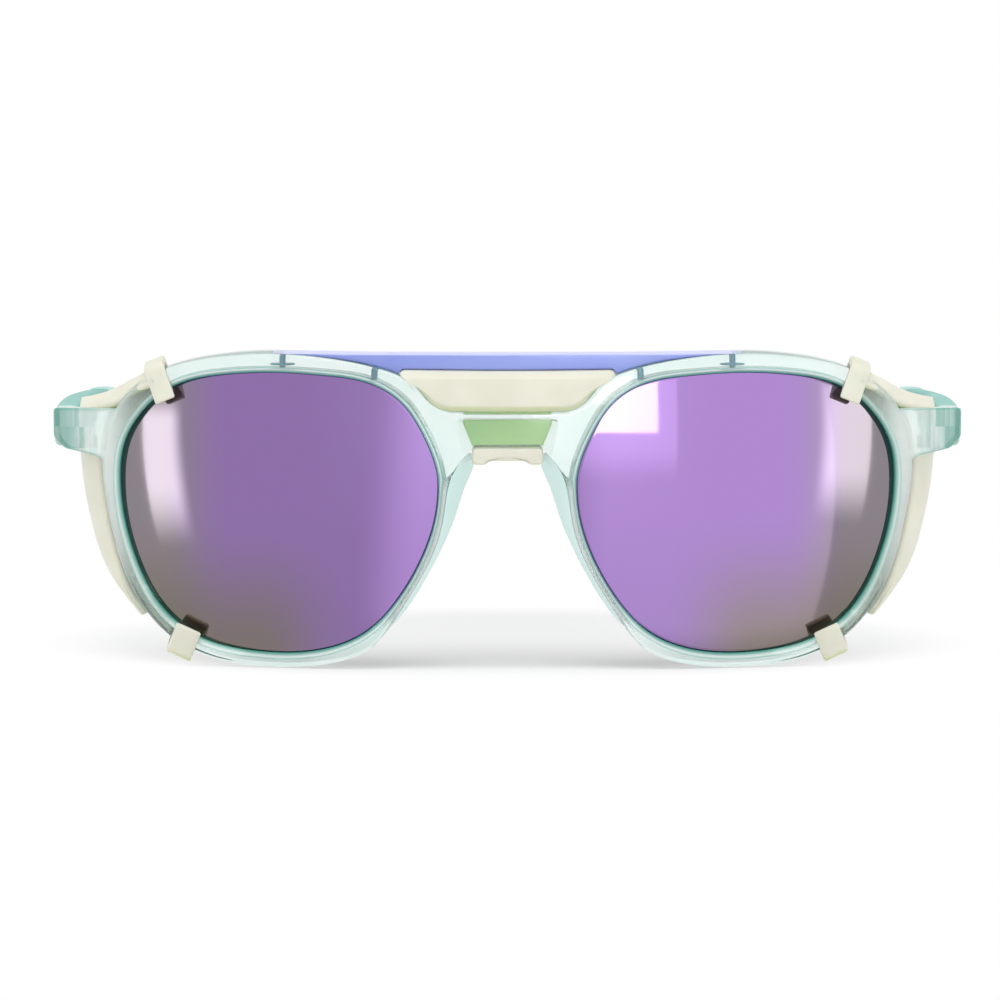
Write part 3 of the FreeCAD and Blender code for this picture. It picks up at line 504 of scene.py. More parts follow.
def block(outline, low, high, edge, corner=0.5, count=72):
    """Loops of a block: the outline in two directions, and in the third from low to high,
    each a number or a function of the outline's points. Its edges are quarter turns:
    edge * (1 - sin(t)) inwards and edge * (1 - cos(t)) deep."""
    loop = even(rounded(outline, corner), count)

    def level(side, ring):
        """Where a side of the block lies at each point of a ring."""
        return side(ring) if callable(side) else np.full(len(ring), side)

    def cap(side, shrink):
        """A ring inside the flat of a side, shrunk towards its middle."""
        small = loop.mean(0) + (inset(loop, edge) - loop.mean(0)) * shrink
        return np.column_stack([small, level(side, small)])

    def turned(side, way, t):
        """A ring of the rounded edge at angle t."""
        ring = inset(loop, edge * (1 - math.sin(t)))
        return np.column_stack([ring, level(side, ring) + way * edge * (1 - math.cos(t))])

    turn, shrinks = np.radians([0.0, 30.0, 60.0, 90.0]), (0.25, 0.6, 0.85)
    loops = [cap(low, shrink) for shrink in shrinks] + [turned(low, 1, t) for t in turn]
    loops += [turned(high, -1, t) for t in turn[::-1]]
    return np.array(loops + [cap(high, shrink) for shrink in shrinks[::-1]])


def tilted_face(xz):
    """Row-frame y of the front's face at x and z: six rounds of height -> ball -> height."""
    z = (xz[:, 1] - LIFT) / math.cos(TILT)
    for _ in range(6):
        y = face_y(xz[:, 0], z)
        z = (xz[:, 1] - LIFT - math.sin(TILT) * y) / math.cos(TILT)
    return stood_up(np.column_stack([xz[:, 0], y, z]))[:, 1]


def knuckle(web_x, web_y, low, high):
    """Loops of a knuckle: a half circle about the hinge axis and a straight web, in plan.
    The web runs forwards to web_y, or sideways to web_x where that is given."""
    r = KNUCKLE_RADIUS
    if web_x is None:
        t = np.linspace(math.pi, 0, 25)
        foot = [(HINGE_X + r, web_y), (HINGE_X - r, web_y)]
    else:
        t = np.linspace(0.5 * math.pi, 1.5 * math.pi, 25)
        foot = [(web_x, HINGE_Y - r), (web_x, HINGE_Y + r)]
    circle = np.column_stack([HINGE_X + r * np.cos(t), HINGE_Y + r * np.sin(t)])
    return block(np.vstack([circle, foot]), low, high, edge=0.12, corner=0.1, count=64)


# The two lower inner corners stay outside the lens opening
end_outline = [(61.1, END_TOP), (SIDE_X, END_TOP), (SIDE_X, END_BOTTOM + END_CHAMFER),
               (SIDE_X - END_CHAMFER, END_BOTTOM), (66.2, END_BOTTOM - 1.1),
               (64.15, END_BOTTOM - 2.25)]
end_block = block(end_outline, tilted_face, END_BACK, edge=0.35)[:, :, [0, 2, 1]]
LOWER_EAR = (END_BOTTOM + EAR_GAP, END_BOTTOM + EAR_GAP + EAR_HEIGHT)
UPPER_EAR = (END_TOP - EAR_GAP - EAR_HEIGHT, END_TOP - EAR_GAP)
ears = [knuckle(None, END_BACK - 0.8, *heights) for heights in (LOWER_EAR, UPPER_EAR)]
print("end block", np.ptp(end_block.reshape(-1, 3), axis=0).round(1), "mm, ears", len(ears))


# %% Uniting and cutting
def united(base, others, how="UNION"):
    """Boolean sum or difference of closed skins; the others are used up."""
    for other in others:
        step = base.modifiers.new("join", "BOOLEAN")
        step.operation, step.solver, step.object = how, "EXACT", other
        bpy.context.view_layer.update()
        result = base.evaluated_get(bpy.context.evaluated_depsgraph_get())
        whole = bpy.data.meshes.new_from_object(result)
        base.modifiers.clear()
        base.data = whole
        bpy.data.objects.remove(other)
    bm = bmesh.new()
    bm.from_mesh(base.data)
    bmesh.ops.remove_doubles(bm, verts=bm.verts, dist=WELD * MM)
    bmesh.ops.dissolve_degenerate(bm, edges=bm.edges, dist=WELD * MM)
    gaps = sum(not e.is_manifold for e in bm.edges)
    bm.to_mesh(base.data)
    bm.free()
    shaded(base.data)
    print(base.name, how.lower(), "->", len(base.data.polygons), "faces, open edges:", gaps)
    return base


# %% The scoop in the bridge, and the joined front
SCOOP_TOP, SCOOP_LOW = BRIDGE_TOP - 0.9, BRIDGE_LOW - 2.0
SCOOP_DEPTH, SCOOP_BEVEL = 1.8, 0.15
scoop_face = [(9.4, SCOOP_TOP), (8.2, SCOOP_LOW), (-8.2, SCOOP_LOW), (-9.4, SCOOP_TOP)]
scoop_floor = np.array([(7.4, SCOOP_TOP - 0.3), (4.9, SCOOP_LOW), (-4.9, SCOOP_LOW),
                        (-7.4, SCOOP_TOP - 0.3)])
deepest = float(face_y(0.0, SCOOP_TOP)) + SCOOP_DEPTH
scoop = np.array([np.column_stack([even(rounded(outline, 0.9), 96), np.full(96, y)])
                  for outline, y in ((scoop_face, -1.0), (scoop_floor, deepest - SCOOP_BEVEL),
                                     (inset(scoop_floor, SCOOP_BEVEL), deepest))])
scoop = stood_up(scoop[:, :, [0, 2, 1]])

blocks = [ribbed("end", loops) for loops in [end_block, mirrored(end_block)]]
blocks += [ribbed("ear", loops) for ear in ears for loops in (ear, mirrored(ear))]
front = united(front, [ribbed("scoop", scoop)], "DIFFERENCE")
front = united(front, blocks)
rim_of_block = np.zeros(len(end_block))
rim_of_block[4:6] = rim_of_block[-6:-4] = 0.2       # the turned edges, marked faintly
for loops in (end_block, mirrored(end_block)):
    shares = np.repeat(rim_of_block, end_block.shape[1])
    marks.append((loops.reshape(-1, 3), shares, 0 * shares))
mark(front)

# %% [markdown]
# ## Nose pads
# Clear flanks that leave the rim's nose side and run back along the nose. They could be
# united with the front, as on the real moulding, but they take a milkier finish of their
# own. Each is a wedge that starts thin at the face, so a dark line shows at the rim.

# %% Nose pads
# Height, root and tip of each section, seen from the eye's centre
PAD_SECTIONS = [(10.2, -27.9, -31.2), (8.6, -27.8, -31.6), (4.7, -27.1, -30.4),
                (-0.3, -26.0, -28.7), (-5.3, -24.7, -26.7), (-9.8, -22.4, -24.5),
                (-14.3, -19.9, -22.0), (-17.8, -17.3, -19.7)]
PAD_DEPTH, PAD_FORE, PAD_AFT = 8.0, 0.55, FRONT_DEPTH - 0.3
PAD_EDGE = np.array([1.5, 0.3, 0.0])        # the free edge's own width


def pad_loops(count=44):
    """Four-cornered sections, smoothed in height: two corners follow the rim's own outline
    at two depths, and two make the free edge, 8 mm behind the face. Both ends close by
    sqrt(1 - (1 - s)^2)."""
    height, root, tip = smooth(PAD_SECTIONS, count).T
    beside = edge[np.argmax(edge[:, 0]) + 60:]
    beside = beside[(beside[:, 0] < -8) & (beside[:, 1] < 10.5)]
    at_rim = np.column_stack([np.interp(height, beside[:, 1], beside[:, 0]) - 0.05, height])
    fore, aft = (from_eye(at_rim, to_ball(at_rim, depth)) for depth in (PAD_FORE, PAD_AFT))
    i = np.arange(count)
    close = np.clip(np.minimum(i / 2.0, i[::-1] / 5.0), 0, 1)
    close = (np.sqrt(1 - (1 - close) ** 2) * 0.999 + 0.001)[:, None]
    free = np.stack([EYE_X + tip, face_y(EYE_X + root, EYE_Z + height) + PAD_DEPTH,
                     EYE_Z + height], 1)
    free = aft + (free - aft) * (0.25 + 0.75 * close)
    return rounded(np.stack([fore, free, free + PAD_EDGE * close, aft], 1), 0.7, steps=7)


pads = [ribbed("nose_flank_" + side, stood_up(pad_loops()) * flip) for side, flip in SIDES]
print("nose pads", [len(p.data.polygons) for p in pads])

# %% [markdown]
# ## Lenses
# Polycarbonate shells, part of a ball of 88 mm. A grid cut out by a boolean would leave
# long thin faces, and a mirror shows each facet of a mesh. So the face is worked out in
# rings from the ball itself, and its edge is slightly bevelled.

# %% Lenses
LENS_COLUMNS, LENS_SEAT, LENS_BEVEL = 240, 0.6, 0.15
LENS_RINGS = (0.02, 0.08, 0.16, 0.26, 0.36, 0.46, 0.56, 0.66, 0.75, 0.83, 0.9, 0.95, 0.985)


def lens_loops():
    """Rings from the vertex to the rim and back: (u, v) scaled by s, at the ball's travel."""
    rim = inset(even(eye_line, LENS_COLUMNS), -LENS_SEAT)
    rings = [(s, 0.0) for s in LENS_RINGS]
    rings += [(1.0, LENS_BEVEL), (1.0, LENS_THICKNESS - LENS_BEVEL)]
    rings += [(s, LENS_THICKNESS) for s in LENS_RINGS[::-1]]
    return stood_up(np.array([from_eye(rim * s, to_lens(rim * s, d)) for s, d in rings]))


lenses = [ribbed("lens_shell_" + side, lens_loops() * flip) for side, flip in SIDES]
print("lenses", np.ptp(lens_loops().reshape(-1, 3), axis=0).round(1), "mm")

# %% [markdown]
# ## Brow bar
# A stiff periwinkle bar seated on both rims. Four pegs go down into the clear rims, where
# they show through the plastic. A curve with a thickness could make it, but the bar tapers
# to nothing at its ends and its underside follows the rims, so its sections are computed.

# %% Brow bar
BAR_TOP, BAR_UNDERSIDE, BAR_END = 51.85, 49.3, EYE_X + 0.6
WINDOW_X, WINDOW_SLANT = 16.7, 0.6          # the window's upper corner between the rims
top_of_rim = rim_xz[(rim_xz[:, 1] > EYE_Z + 17.4) & (rim_xz[:, 0] < BAR_END + 3)]
top_of_rim = top_of_rim[np.argsort(top_of_rim[:, 0])]


def rim_height(x):
    """Height of the rim's top edge at x, from the outline's own points."""
    return np.interp(np.abs(x), top_of_rim[:, 0], top_of_rim[:, 1])


def bar_loops(count=180):
    """Sections along x: top 51.85 - 0.7 (x / end)^2, underside the rim's top or the guard's
    window, corners rounded by up to 0.4 mm."""
    x = BAR_END * np.sin(np.linspace(-0.5 * math.pi, 0.5 * math.pi, count))
    top = BAR_TOP - 0.7 * (x / BAR_END) ** 2
    slant = BAR_UNDERSIDE - np.clip((np.abs(x) - WINDOW_X) / WINDOW_SLANT, 0, 1) * 1.2
    seat = np.where(np.abs(x) > WINDOW_X - 0.5, rim_height(x) - 0.02, 0)
    low = np.minimum(np.maximum(slant, seat), top - 0.12)
    fore, aft = face_y(x, top, 0.5), face_y(x, low, 3.5)
    corners = [(fore, low), (fore, top), (aft, top), (aft, low)]
    corners = np.stack([np.stack([x, y, z], 1) for y, z in corners], 1)
    return rounded(corners, np.minimum(0.4, 0.4 * (top - low))[:, None], steps=6)


# %% Pegs under the bar
OUTER_PEG, INNER_PEG, PEG_TOP = 35.6, 21.0, BAR_TOP - 0.95


def upright(x, drop, rows, wide, deep, count):
    """Rings about an upright axis at x, 2 mm behind the face, at heights above a point that
    lies a drop below the rim's top. Each row is (height, share of wide and deep)."""
    t = np.linspace(0, 2 * math.pi, count, endpoint=False)
    y, foot = float(face_y(abs(x), PEG_TOP)) + 2.0, float(rim_height(x)) - drop
    return np.array([np.column_stack([x + wide * k * np.cos(t), y + deep * k * np.sin(t),
                                      np.full(count, foot + rise)]) for rise, k in rows])


def peg_loops(x):
    """A round peg from inside the bar to 2.4 mm below the rim's top, its foot rounded."""
    length = PEG_TOP - float(rim_height(x)) + 2.4
    rows = [(0.0, 0.6), (0.06, 0.84), (0.2, 1.0), (length, 1.0)]
    return upright(x, 2.4, rows, 0.5, 0.5, 24)


def catch_loops(x):
    """A plate of 4 x 1 mm across an outer peg, 1.9 mm below the rim's top."""
    return upright(x, 1.9, [(-0.15, 0.9), (-0.05, 1.0), (0.05, 1.0), (0.15, 0.9)], 2.0, 0.5, 48)


pegs = [peg_loops(sign * x) for x in (OUTER_PEG, INNER_PEG) for sign in (1, -1)]
pegs += [catch_loops(sign * OUTER_PEG) for sign in (1, -1)]
bar_itself = stood_up(bar_loops())
bar = ribbed("brow_bar_moulding", bar_itself, *[stood_up(loops) for loops in pegs])
print("brow bar", np.ptp(bar_itself, axis=(0, 1)).round(1), "mm, pegs and catches", len(pegs))

# %% [markdown]
# ## Bridge guard and nose saddle
# Two soft cream mouldings. The guard fills the window between bar, rims and bridge, with
# a raised face like a small pillow. The saddle hooks under the bridge and rests on the
# nose. A cushion could be sculpted, but rings shrunk from the window's outline fit it
# exactly.

# %% Bridge guard
GUARD_MIDDLE = np.array([0.0, 46.05])


def towards(middle, outline, rings):
    """Outlines drawn towards a middle: each ring is (share of the way out, depth)."""
    return [(middle + (outline - middle) * s, depth) for s, depth in rings]


def window_outline():
    """The window's outline from above: straight top, slanted corners, then the rims' own
    sides down to the bridge; the left half mirrors the right."""
    side = rim_xz[(rim_xz[:, 1] < 48.1) & (rim_xz[:, 1] > BRIDGE_TOP) & (rim_xz[:, 0] < 20)]
    side = side[np.argsort(-side[:, 1])]
    top = [(WINDOW_X, BAR_UNDERSIDE - 0.05), (WINDOW_X + WINDOW_SLANT, 48.5)]
    right = np.vstack([top, side[::10], [(side[-1, 0] - 0.3, BRIDGE_TOP)]])
    return np.vstack([right, (right * [-1, 1])[::-1]])


def guard_loops():
    """Rings of the pillow: the window's outline, inset by a little, at depths behind the
    face that rise over the bevel; behind, a flange 1 mm wider than that outline."""
    outline = inset(even(rounded(window_outline(), 0.5, 4), 160), 0.06)
    raised = GUARD_MIDDLE + (outline - GUARD_MIDDLE) * [1 - 1.9 / 34.6, 1 - 2.1 / 6.5]
    wide = inset(outline, -1.0)
    rings = towards(GUARD_MIDDLE, raised, [(s, -0.62 - 0.08 * math.cos(s * math.pi / 2))
                                           for s in (0.1, 0.3, 0.5, 0.7, 0.85, 0.95)])
    rings += towards(raised, outline, [(0.0, -0.6), (0.12, -0.54), (0.5, -0.2), (0.85, 0.12),
                                       (0.97, 0.26), (1.0, 0.45), (1.0, 3.9), (1.0, 4.05)])
    rings += [(wide, 4.06), (inset(wide, -0.15), 4.25), (inset(wide, -0.15), 4.65), (wide, 4.85)]
    rings += towards(GUARD_MIDDLE, wide, [(s, 4.87) for s in (0.9, 0.6, 0.3, 0.1)])
    return stood_up(np.array([on_face(xz, depth) for xz, depth in rings]))


guard = ribbed("bridge_guard_rubber", guard_loops())
print("guard", np.ptp(guard_loops().reshape(-1, 3), axis=0).round(1), "mm")

# %% Nose saddle
SADDLE_HALF = [(5.65, BRIDGE_LOW - 0.05), (5.65, 34.6), (5.2, 34.25), (3.5, 34.25), (2.8, 34.9)]
SHELF_FORE, SHELF_AFT = 1.35, 6.7
LIP_CORNERS = [(5.65, 36.45), (7.35, 41.1), (-7.35, 41.1), (-5.65, 36.45)]
LIP_MIDDLE = np.array([0.0, 38.9])


def saddle_loops():
    """A shelf under the bridge with two rounded feet, and a lip up behind the bridge: its
    outline inset by small steps at depths behind the front's rear face."""
    outline = np.array(SADDLE_HALF + [(-x, z) for x, z in reversed(SADDLE_HALF)])
    shelf = block(outline, SHELF_FORE, SHELF_AFT, edge=0.3, corner=0.7, count=120)
    line = even(rounded(LIP_CORNERS, 0.9, 5), 120)
    rings = towards(LIP_MIDDLE, line, [(s, 0.05) for s in (0.1, 0.4, 0.7, 0.9)])
    rings += [(inset(line, by), depth) for by, depth in
              ((0.25, 0.06), (0.04, 0.25), (0.0, 0.4), (0.0, 1.1), (0.1, 1.3), (0.3, 1.4))]
    rings += towards(LIP_MIDDLE, line, [(s, 1.42) for s in (0.88, 0.6, 0.3, 0.1)])
    lip = np.array([on_face(xz, FRONT_DEPTH + depth) for xz, depth in rings])
    return stood_up(shelf[:, :, [0, 2, 1]]), stood_up(lip)


saddle = ribbed("nose_saddle_rubber", *saddle_loops())
print("saddle", len(saddle.data.polygons), "faces")

# %% [markdown]
# ## Side shields
# One soft moulding each side: two hooks clip over the rim, a strap behind the rim joins
# them, a bulging leaf closes the gap below the temple, and an S-shaped arm runs from the
# upper hook over the end piece. Rubber hides its inside, so there is no need to unite
# them: they are drawn as skins that run into one another.

# %% Hooks over the rim
# Places along the band (counted from its start, or from its end where True) and depth
HOOK_SECTION = [(0.0, False, -0.88), (-0.6, True, -0.88), (0.0, True, -0.35), (0.0, True, 5.0),
                (-0.5, True, 5.4), (0.6, False, 5.4), (0.6, False, 4.04), (-1.3, True, 4.04),
                (-1.3, True, -0.04), (0.0, False, -0.04)]
HOOK_SIDES = ((-1.0, 0.3), (-0.97, 0.12), (-0.86, 0.0), (-0.4, 0.0),
              (0.4, 0.0), (0.86, 0.0), (0.97, 0.12), (1.0, 0.3))


def hook_loops(start, end, half_width, twist):
    """A band bent over the rim. Its path, in the plane of its own length and the depth,
    goes across the front, round the edge and back behind; the band is carried sideways."""
    start, end = np.array(start), np.array(end)
    length = np.linalg.norm(end - start)
    along = (end - start) / length
    across = np.array([along[1], -along[0]])
    path = [(at + length * from_end, depth) for at, from_end, depth in HOOK_SECTION]
    line = even(rounded(path, 0.45, 5), 150)
    loops = []
    for w, shrink in HOOK_SIDES:
        ring = inset(line, shrink)
        run = ring[:, :1]
        xz = start + run * along + (w * half_width + run * twist) * across + [EYE_X, EYE_Z]
        loops.append(on_face(xz) + np.outer(ring[:, 1], [0.0, 1.0, 0.0]))
    return stood_up(np.array(loops))


hooks = [hook_loops((17.9, 17.6), (20.3, 23.0), 1.72, -0.06),
         hook_loops((14.45, -19.4), (16.5, -24.5), 2.1, 0.02)]
print("hooks", [np.ptp(loops, axis=(0, 1)).round(1) for loops in hooks], "mm")

# %% Strap behind the rim
# Share of the way from the opening to the rim's edge, and depth
STRAP_SECTION = [(0.0, 4.05), (0.15, 4.02), (0.85, 4.02), (1.0, 4.1),
                 (1.0, 5.2), (0.85, 5.35), (0.15, 5.35), (0.0, 5.2)]


def strap_loops(count=90):
    """A band along the rim's outline, from 0.2 mm inside the opening's edge to 0.85 mm
    outside the rim, 1.3 mm thick with round edges."""
    keep = (edge[:, 1] < 21.0) & (edge[:, 1] > -22.0) & (edge[:, 0] > 12)
    rim = smooth(edge[keep][::8], count)
    square = normal_of(rim)
    a, b = eye_at(clockwise_angle(rim), eye_line) - 0.2 * square, rim + 0.85 * square
    loops = [from_eye(a + (b - a) * s, to_ball(a + (b - a) * s, d)) for s, d in STRAP_SECTION]
    return stood_up(np.stack(loops, 1))


print("strap", np.ptp(strap_loops(), axis=(0, 1)).round(1), "mm")


# %% Leaf and arm
def shell(grid, thickness, inwards):
    """Loops round a sheet of points: its own points, the same moved inwards, and at each
    side a half-round of the thickness: h*sin(a) in depth and h*(1 - cos(a)) across."""
    along = np.gradient(grid, axis=1)
    square = np.cross(along, np.gradient(grid, axis=0))
    square /= np.linalg.norm(square, axis=-1)[..., None]
    square *= np.sign(np.sum(square * inwards, -1))[..., None]
    along /= np.linalg.norm(along, axis=-1)[..., None]
    middle, back = grid + square * thickness / 2, grid + square * thickness

    def half_round(column, sign, turns):
        """Columns of points that turn round one side of the sheet."""
        return [middle[:, column] - square[:, column] * math.sin(a) * thickness / 2
                + sign * along[:, column] * (1 - math.cos(a)) * thickness / 2 for a in turns]

    turns = np.radians(np.arange(-90, 91, 30))
    left, right = half_round([0], 1, turns), half_round([-1], -1, turns[::-1])
    return np.concatenate(left + [grid[:, 2:-2]] + right + [back[:, -3:1:-1]], 1)


# Height, outward place and depth: three points across, at six heights
LEAF = np.array([[(34.4, 29.3, 0.9), (34.4, 32.6, 10.0), (34.4, 32.9, 21.0)],
                 [(29.0, 28.9, 0.7), (29.0, 32.0, 9.0), (29.0, 32.2, 17.5)],
                 [(22.5, 27.9, 0.5), (22.5, 30.6, 7.0), (22.5, 30.7, 13.0)],
                 [(16.5, 26.3, 0.3), (16.5, 28.6, 5.0), (16.5, 28.6, 9.0)],
                 [(11.5, 24.3, 0.1), (11.5, 25.5, 2.6), (11.5, 25.5, 5.2)],
                 [(8.0, 21.9, -0.4), (8.0, 22.6, 1.2), (8.0, 22.5, 2.8)]])
LEAF_START, LEAF_THICKNESS = 20.9, 1.4
# Outward place, depth and height: the front and the rear edge, at six places
ARM = np.array([[(20.0, 11.1, 46.2), (20.0, 13.4, 48.4)], [(20.7, 11.6, 45.8), (20.7, 14.0, 48.0)],
                [(23.7, 14.0, 44.3), (23.7, 17.0, 46.5)], [(26.3, 16.3, 42.7), (26.3, 20.0, 45.0)],
                [(29.3, 18.3, 41.9), (29.3, 22.5, 43.9)], [(32.1, 19.6, 41.8), (32.1, 25.0, 43.2)]])
ARM_THICKNESS = 1.6


def leaf_loops():
    """Three upright curves through the drawn places, and across each height the parabola
    (1-s)(1-2s), 4s(1-s), s(2s-1) through them; the shell lies on its inner side."""
    tall = [smooth(LEAF[:, k], 60) for k in range(3)]
    height, out, behind = [np.stack([t[:, c] for t in tall], 1) for c in range(3)]
    s = np.linspace(0, 1, 26)
    blend = np.stack([(1 - s) * (1 - 2 * s), 4 * s * (1 - s), s * (2 * s - 1)], 0)
    sheet = np.stack([EYE_X + out @ blend, LEAF_START + TO_MIDDLE + behind @ blend,
                      height @ blend], -1)
    return shell(sheet, LEAF_THICKNESS, np.array([-1.0, 0.0, 0.0]))


def shield_arm_loops():
    """Front edge and rear edge as curves, straight between them."""
    fore, aft = smooth(ARM[:, 0], 60), smooth(ARM[:, 1], 60)
    s = np.linspace(0, 1, 12)[None, :, None]
    sheet = fore[:, None] * (1 - s) + aft[:, None] * s + [EYE_X, TO_MIDDLE, 0.0]
    return shell(sheet, ARM_THICKNESS, np.array([0.0, 0.75, -0.66]))


skins = hooks + [strap_loops(), leaf_loops(), shield_arm_loops()]
shields = [ribbed("side_shield_rubber_" + side, *[loops * flip for loops in skins])
           for side, flip in SIDES]
print("side shields", [len(s.data.polygons) for s in shields])

# %% [markdown]
# ## Temples
# Clear arms bowed to the head, with the middle knuckle of the hinge in front. A soft
# sleeve covers the rear, bends down behind the ear and has a hole for a neck cord. A
# steel wire inside can be bent to fit: it is the engineering model's own piece, and only
# a trace of it shows, because the arm is milky. A bevelled curve would make the arm, but
# not its change of height, so rounded sections are set along the bow.

# %% Temple arms
TEMPLE_BOW = [(0.0, 0.0), (35.0, 1.5), (62.0, 1.2), (88.0, -1.9), (108.0, -6.2), (124.0, -11.2)]
ARM_WIDTH, ARM_LOW, ARM_START, ARM_CORNER = 3.8, 35.2, 0.15, 1.15
CENTRE_Z, SLEEVE_START, BEND_START, BEND_RADIUS = 39.0, 78.0, 82.0, 19.0
bow_line = smooth(TEMPLE_BOW, 200)


def arm_middle(s, z):
    """Middle of the arm at a distance s behind the end piece: x is the side, plus the bow,
    less half the arm's width."""
    bow = np.interp(s, bow_line[:, 0], bow_line[:, 1])
    return np.stack([SIDE_X + bow - ARM_WIDTH / 2, END_BACK + s, z], 1)


def bar_section(centre, up, wide, tall, cut, steps):
    """Rounded four-sided loops about centres: half sizes along x and along an up direction."""
    side, rise = wide[:, None] / 2 * np.array([1.0, 0.0, 0.0]), tall[:, None] / 2 * up
    corners = [(1, 1), (-1, 1), (-1, -1), (1, -1)]
    return rounded(np.stack([centre + a * side + b * rise for a, b in corners], 1), cut, steps)


def arm_loops():
    """Height falls evenly from 6.3 to 4.8 mm along the arm; its middle follows the bow."""
    s = np.concatenate([[ARM_START, 0.2, 0.35, 0.6], np.linspace(2, SLEEVE_START, 60)])
    share = (s - ARM_START) / (SLEEVE_START - ARM_START)
    low, top = ARM_LOW + share * 1.4, END_TOP - share * 0.1
    shrink = np.interp(s, [ARM_START, 0.2, 0.35, 0.6], [0.6, 0.3, 0.1, 0.0])
    return bar_section(arm_middle(s, (low + top) / 2), UP, ARM_WIDTH - shrink,
                       top - low - shrink, ARM_CORNER, 8)


middle_low = END_BOTTOM + EAR_GAP * 2 + EAR_HEIGHT
middle_knuckle = knuckle(SIDE_X - 2.6, None, middle_low, middle_low + EAR_HEIGHT)
arms = []
for side, flip in SIDES:
    arm = ribbed("temple_arm_" + side + "_moulding", arm_loops() * flip)
    arms.append(united(arm, [ribbed("knuckle", middle_knuckle * flip)]))

# %% Sleeves
BEND_ANGLE, TIP_RADIUS = math.radians(55.0), 2.7
BEND_FALL = BEND_RADIUS * (1 - math.cos(BEND_ANGLE))
DROP = (CENTRE_Z - BEND_FALL - TIP_RADIUS) / math.sin(BEND_ANGLE)
SLEEVE_WIDTH, SLEEVE_HEIGHT, SLEEVE_CORNER = 4.56, 5.36, 1.9
HOLE_Y, HOLE_Z, HOLE_RADIUS = 66.54858, 4.99363, 1.25


def sleeve_loops():
    """Straight, then an arc of 19 mm through 55 degrees, then straight down to a round tip
    whose size falls as cos(a) while it goes on by sin(a)."""
    mouth = np.array([0.0, 0.08, 0.25, 0.5])
    start = np.concatenate([mouth, np.linspace(1.0, 4.0, 6)[:-1]])
    turn = np.linspace(0, BEND_ANGLE, 26)
    drop = np.linspace(0, DROP, 30)[1:]
    end = np.radians(np.linspace(0, 86, 12))[1:]
    straight = np.concatenate([drop, drop[-1] + TIP_RADIUS * np.sin(end)])
    s = np.concatenate([SLEEVE_START + start, BEND_START + BEND_RADIUS * np.sin(turn),
                        BEND_START + BEND_RADIUS * math.sin(BEND_ANGLE)
                        + straight * math.cos(BEND_ANGLE)])
    z = np.concatenate([np.full(len(start), CENTRE_Z),
                        CENTRE_Z - BEND_RADIUS * (1 - np.cos(turn)),
                        CENTRE_Z - BEND_FALL - straight * math.sin(BEND_ANGLE)])
    aim = np.concatenate([np.zeros(len(start)), turn, np.full(len(straight), BEND_ANGLE)])
    size = np.interp(s, SLEEVE_START + mouth, [0.8, 0.9, 0.97, 1.0])
    size[-len(end):] = np.cos(end)
    up = np.stack([np.zeros(len(s)), np.sin(aim), np.cos(aim)], 1)
    return bar_section(arm_middle(s, z), up, SLEEVE_WIDTH * (0.35 + 0.65 * size),
                       SLEEVE_HEIGHT * size, SLEEVE_CORNER * size[:, None], 9)


def cord_hole():
    """A drill of 1.25 mm radius along x, at the place where a neck cord is tied."""
    t = np.linspace(0, 2 * math.pi, 40, endpoint=False)
    y, z = HOLE_Y + HOLE_RADIUS * np.cos(t), HOLE_Z + HOLE_RADIUS * np.sin(t)
    return np.array([np.column_stack([np.full(40, x), y, z]) for x in (52.0, 60.0, 66.0, 74.0)])


sleeves = []
for side, flip in SIDES:
    sleeve = ribbed("temple_sleeve_" + side, sleeve_loops() * flip)
    sleeves.append(united(sleeve, [ribbed("drill", cord_hole() * flip)], "DIFFERENCE"))

# %% [markdown]
# ## Finishes
# Every finish starts from the real material and how its surface was made. Plain values
# would look like a drawing, so colour, roughness and relief wander a little in each.
# Colours are written as sRGB and turned to linear light by one function.

# %% Nodes
def linear(text):
    """sRGB to linear light: c / 12.92 when dark, else ((c + 0.055) / 1.055) ^ 2.4."""
    c = np.array([int(text[i:i + 2], 16) for i in (1, 3, 5)]) / 255.0
    return tuple(np.where(c <= 0.04045, c / 12.92, ((c + 0.055) / 1.055) ** 2.4)) + (1.0,)


def node(tree, kind, sockets=None, colours=(), **settings):
    """Adds a node with its settings; a socket takes a value or another node's output, and
    a ramp's colours are spread evenly along it."""
    made = tree.nodes.new(kind)
    for name, value in settings.items():
        setattr(made, name, value)
    for name, value in (sockets or {}).items():
        if isinstance(value, bpy.types.NodeSocket):
            tree.links.new(value, made.inputs[name])
        else:
            made.inputs[name].default_value = value
    for i, text in enumerate(colours):
        stops = made.color_ramp.elements
        stop = stops[i] if i < 2 else stops.new(1.0)
        stop.position, stop.color = i / (len(colours) - 1), linear(text)
    return made


print("middle grey in linear light:", round(float(linear("#808080")[0]), 3))


# %% A plain finish
def finish(name, **sockets):
    """A material whose Principled shader has these values on its own sockets."""
    made = bpy.data.materials.new(name)
    made.use_nodes = True
    tree = made.node_tree
    tree.nodes.clear()
    sockets = {socket.replace("_", " "): value for socket, value in sockets.items()}
    shader = node(tree, "ShaderNodeBsdfPrincipled", sockets)
    node(tree, "ShaderNodeOutputMaterial", {"Surface": shader.outputs[0]})
    return made, tree, shader, node(tree, "ShaderNodeTexCoord").outputs["Object"]


# %% Unevenness
def grain(tree, place, size_mm, strength, depth_mm, detail=3.0):
    """Bump from noise whose patches are about size_mm across and depth_mm high."""
    noise = node(tree, "ShaderNodeTexNoise",
                 {"Vector": place, "Scale": 1 / (size_mm * MM), "Detail": detail})
    return node(tree, "ShaderNodeBump",
                {"Height": noise.outputs["Fac"], "Strength": strength,
                 "Distance": depth_mm * MM}).outputs["Normal"]


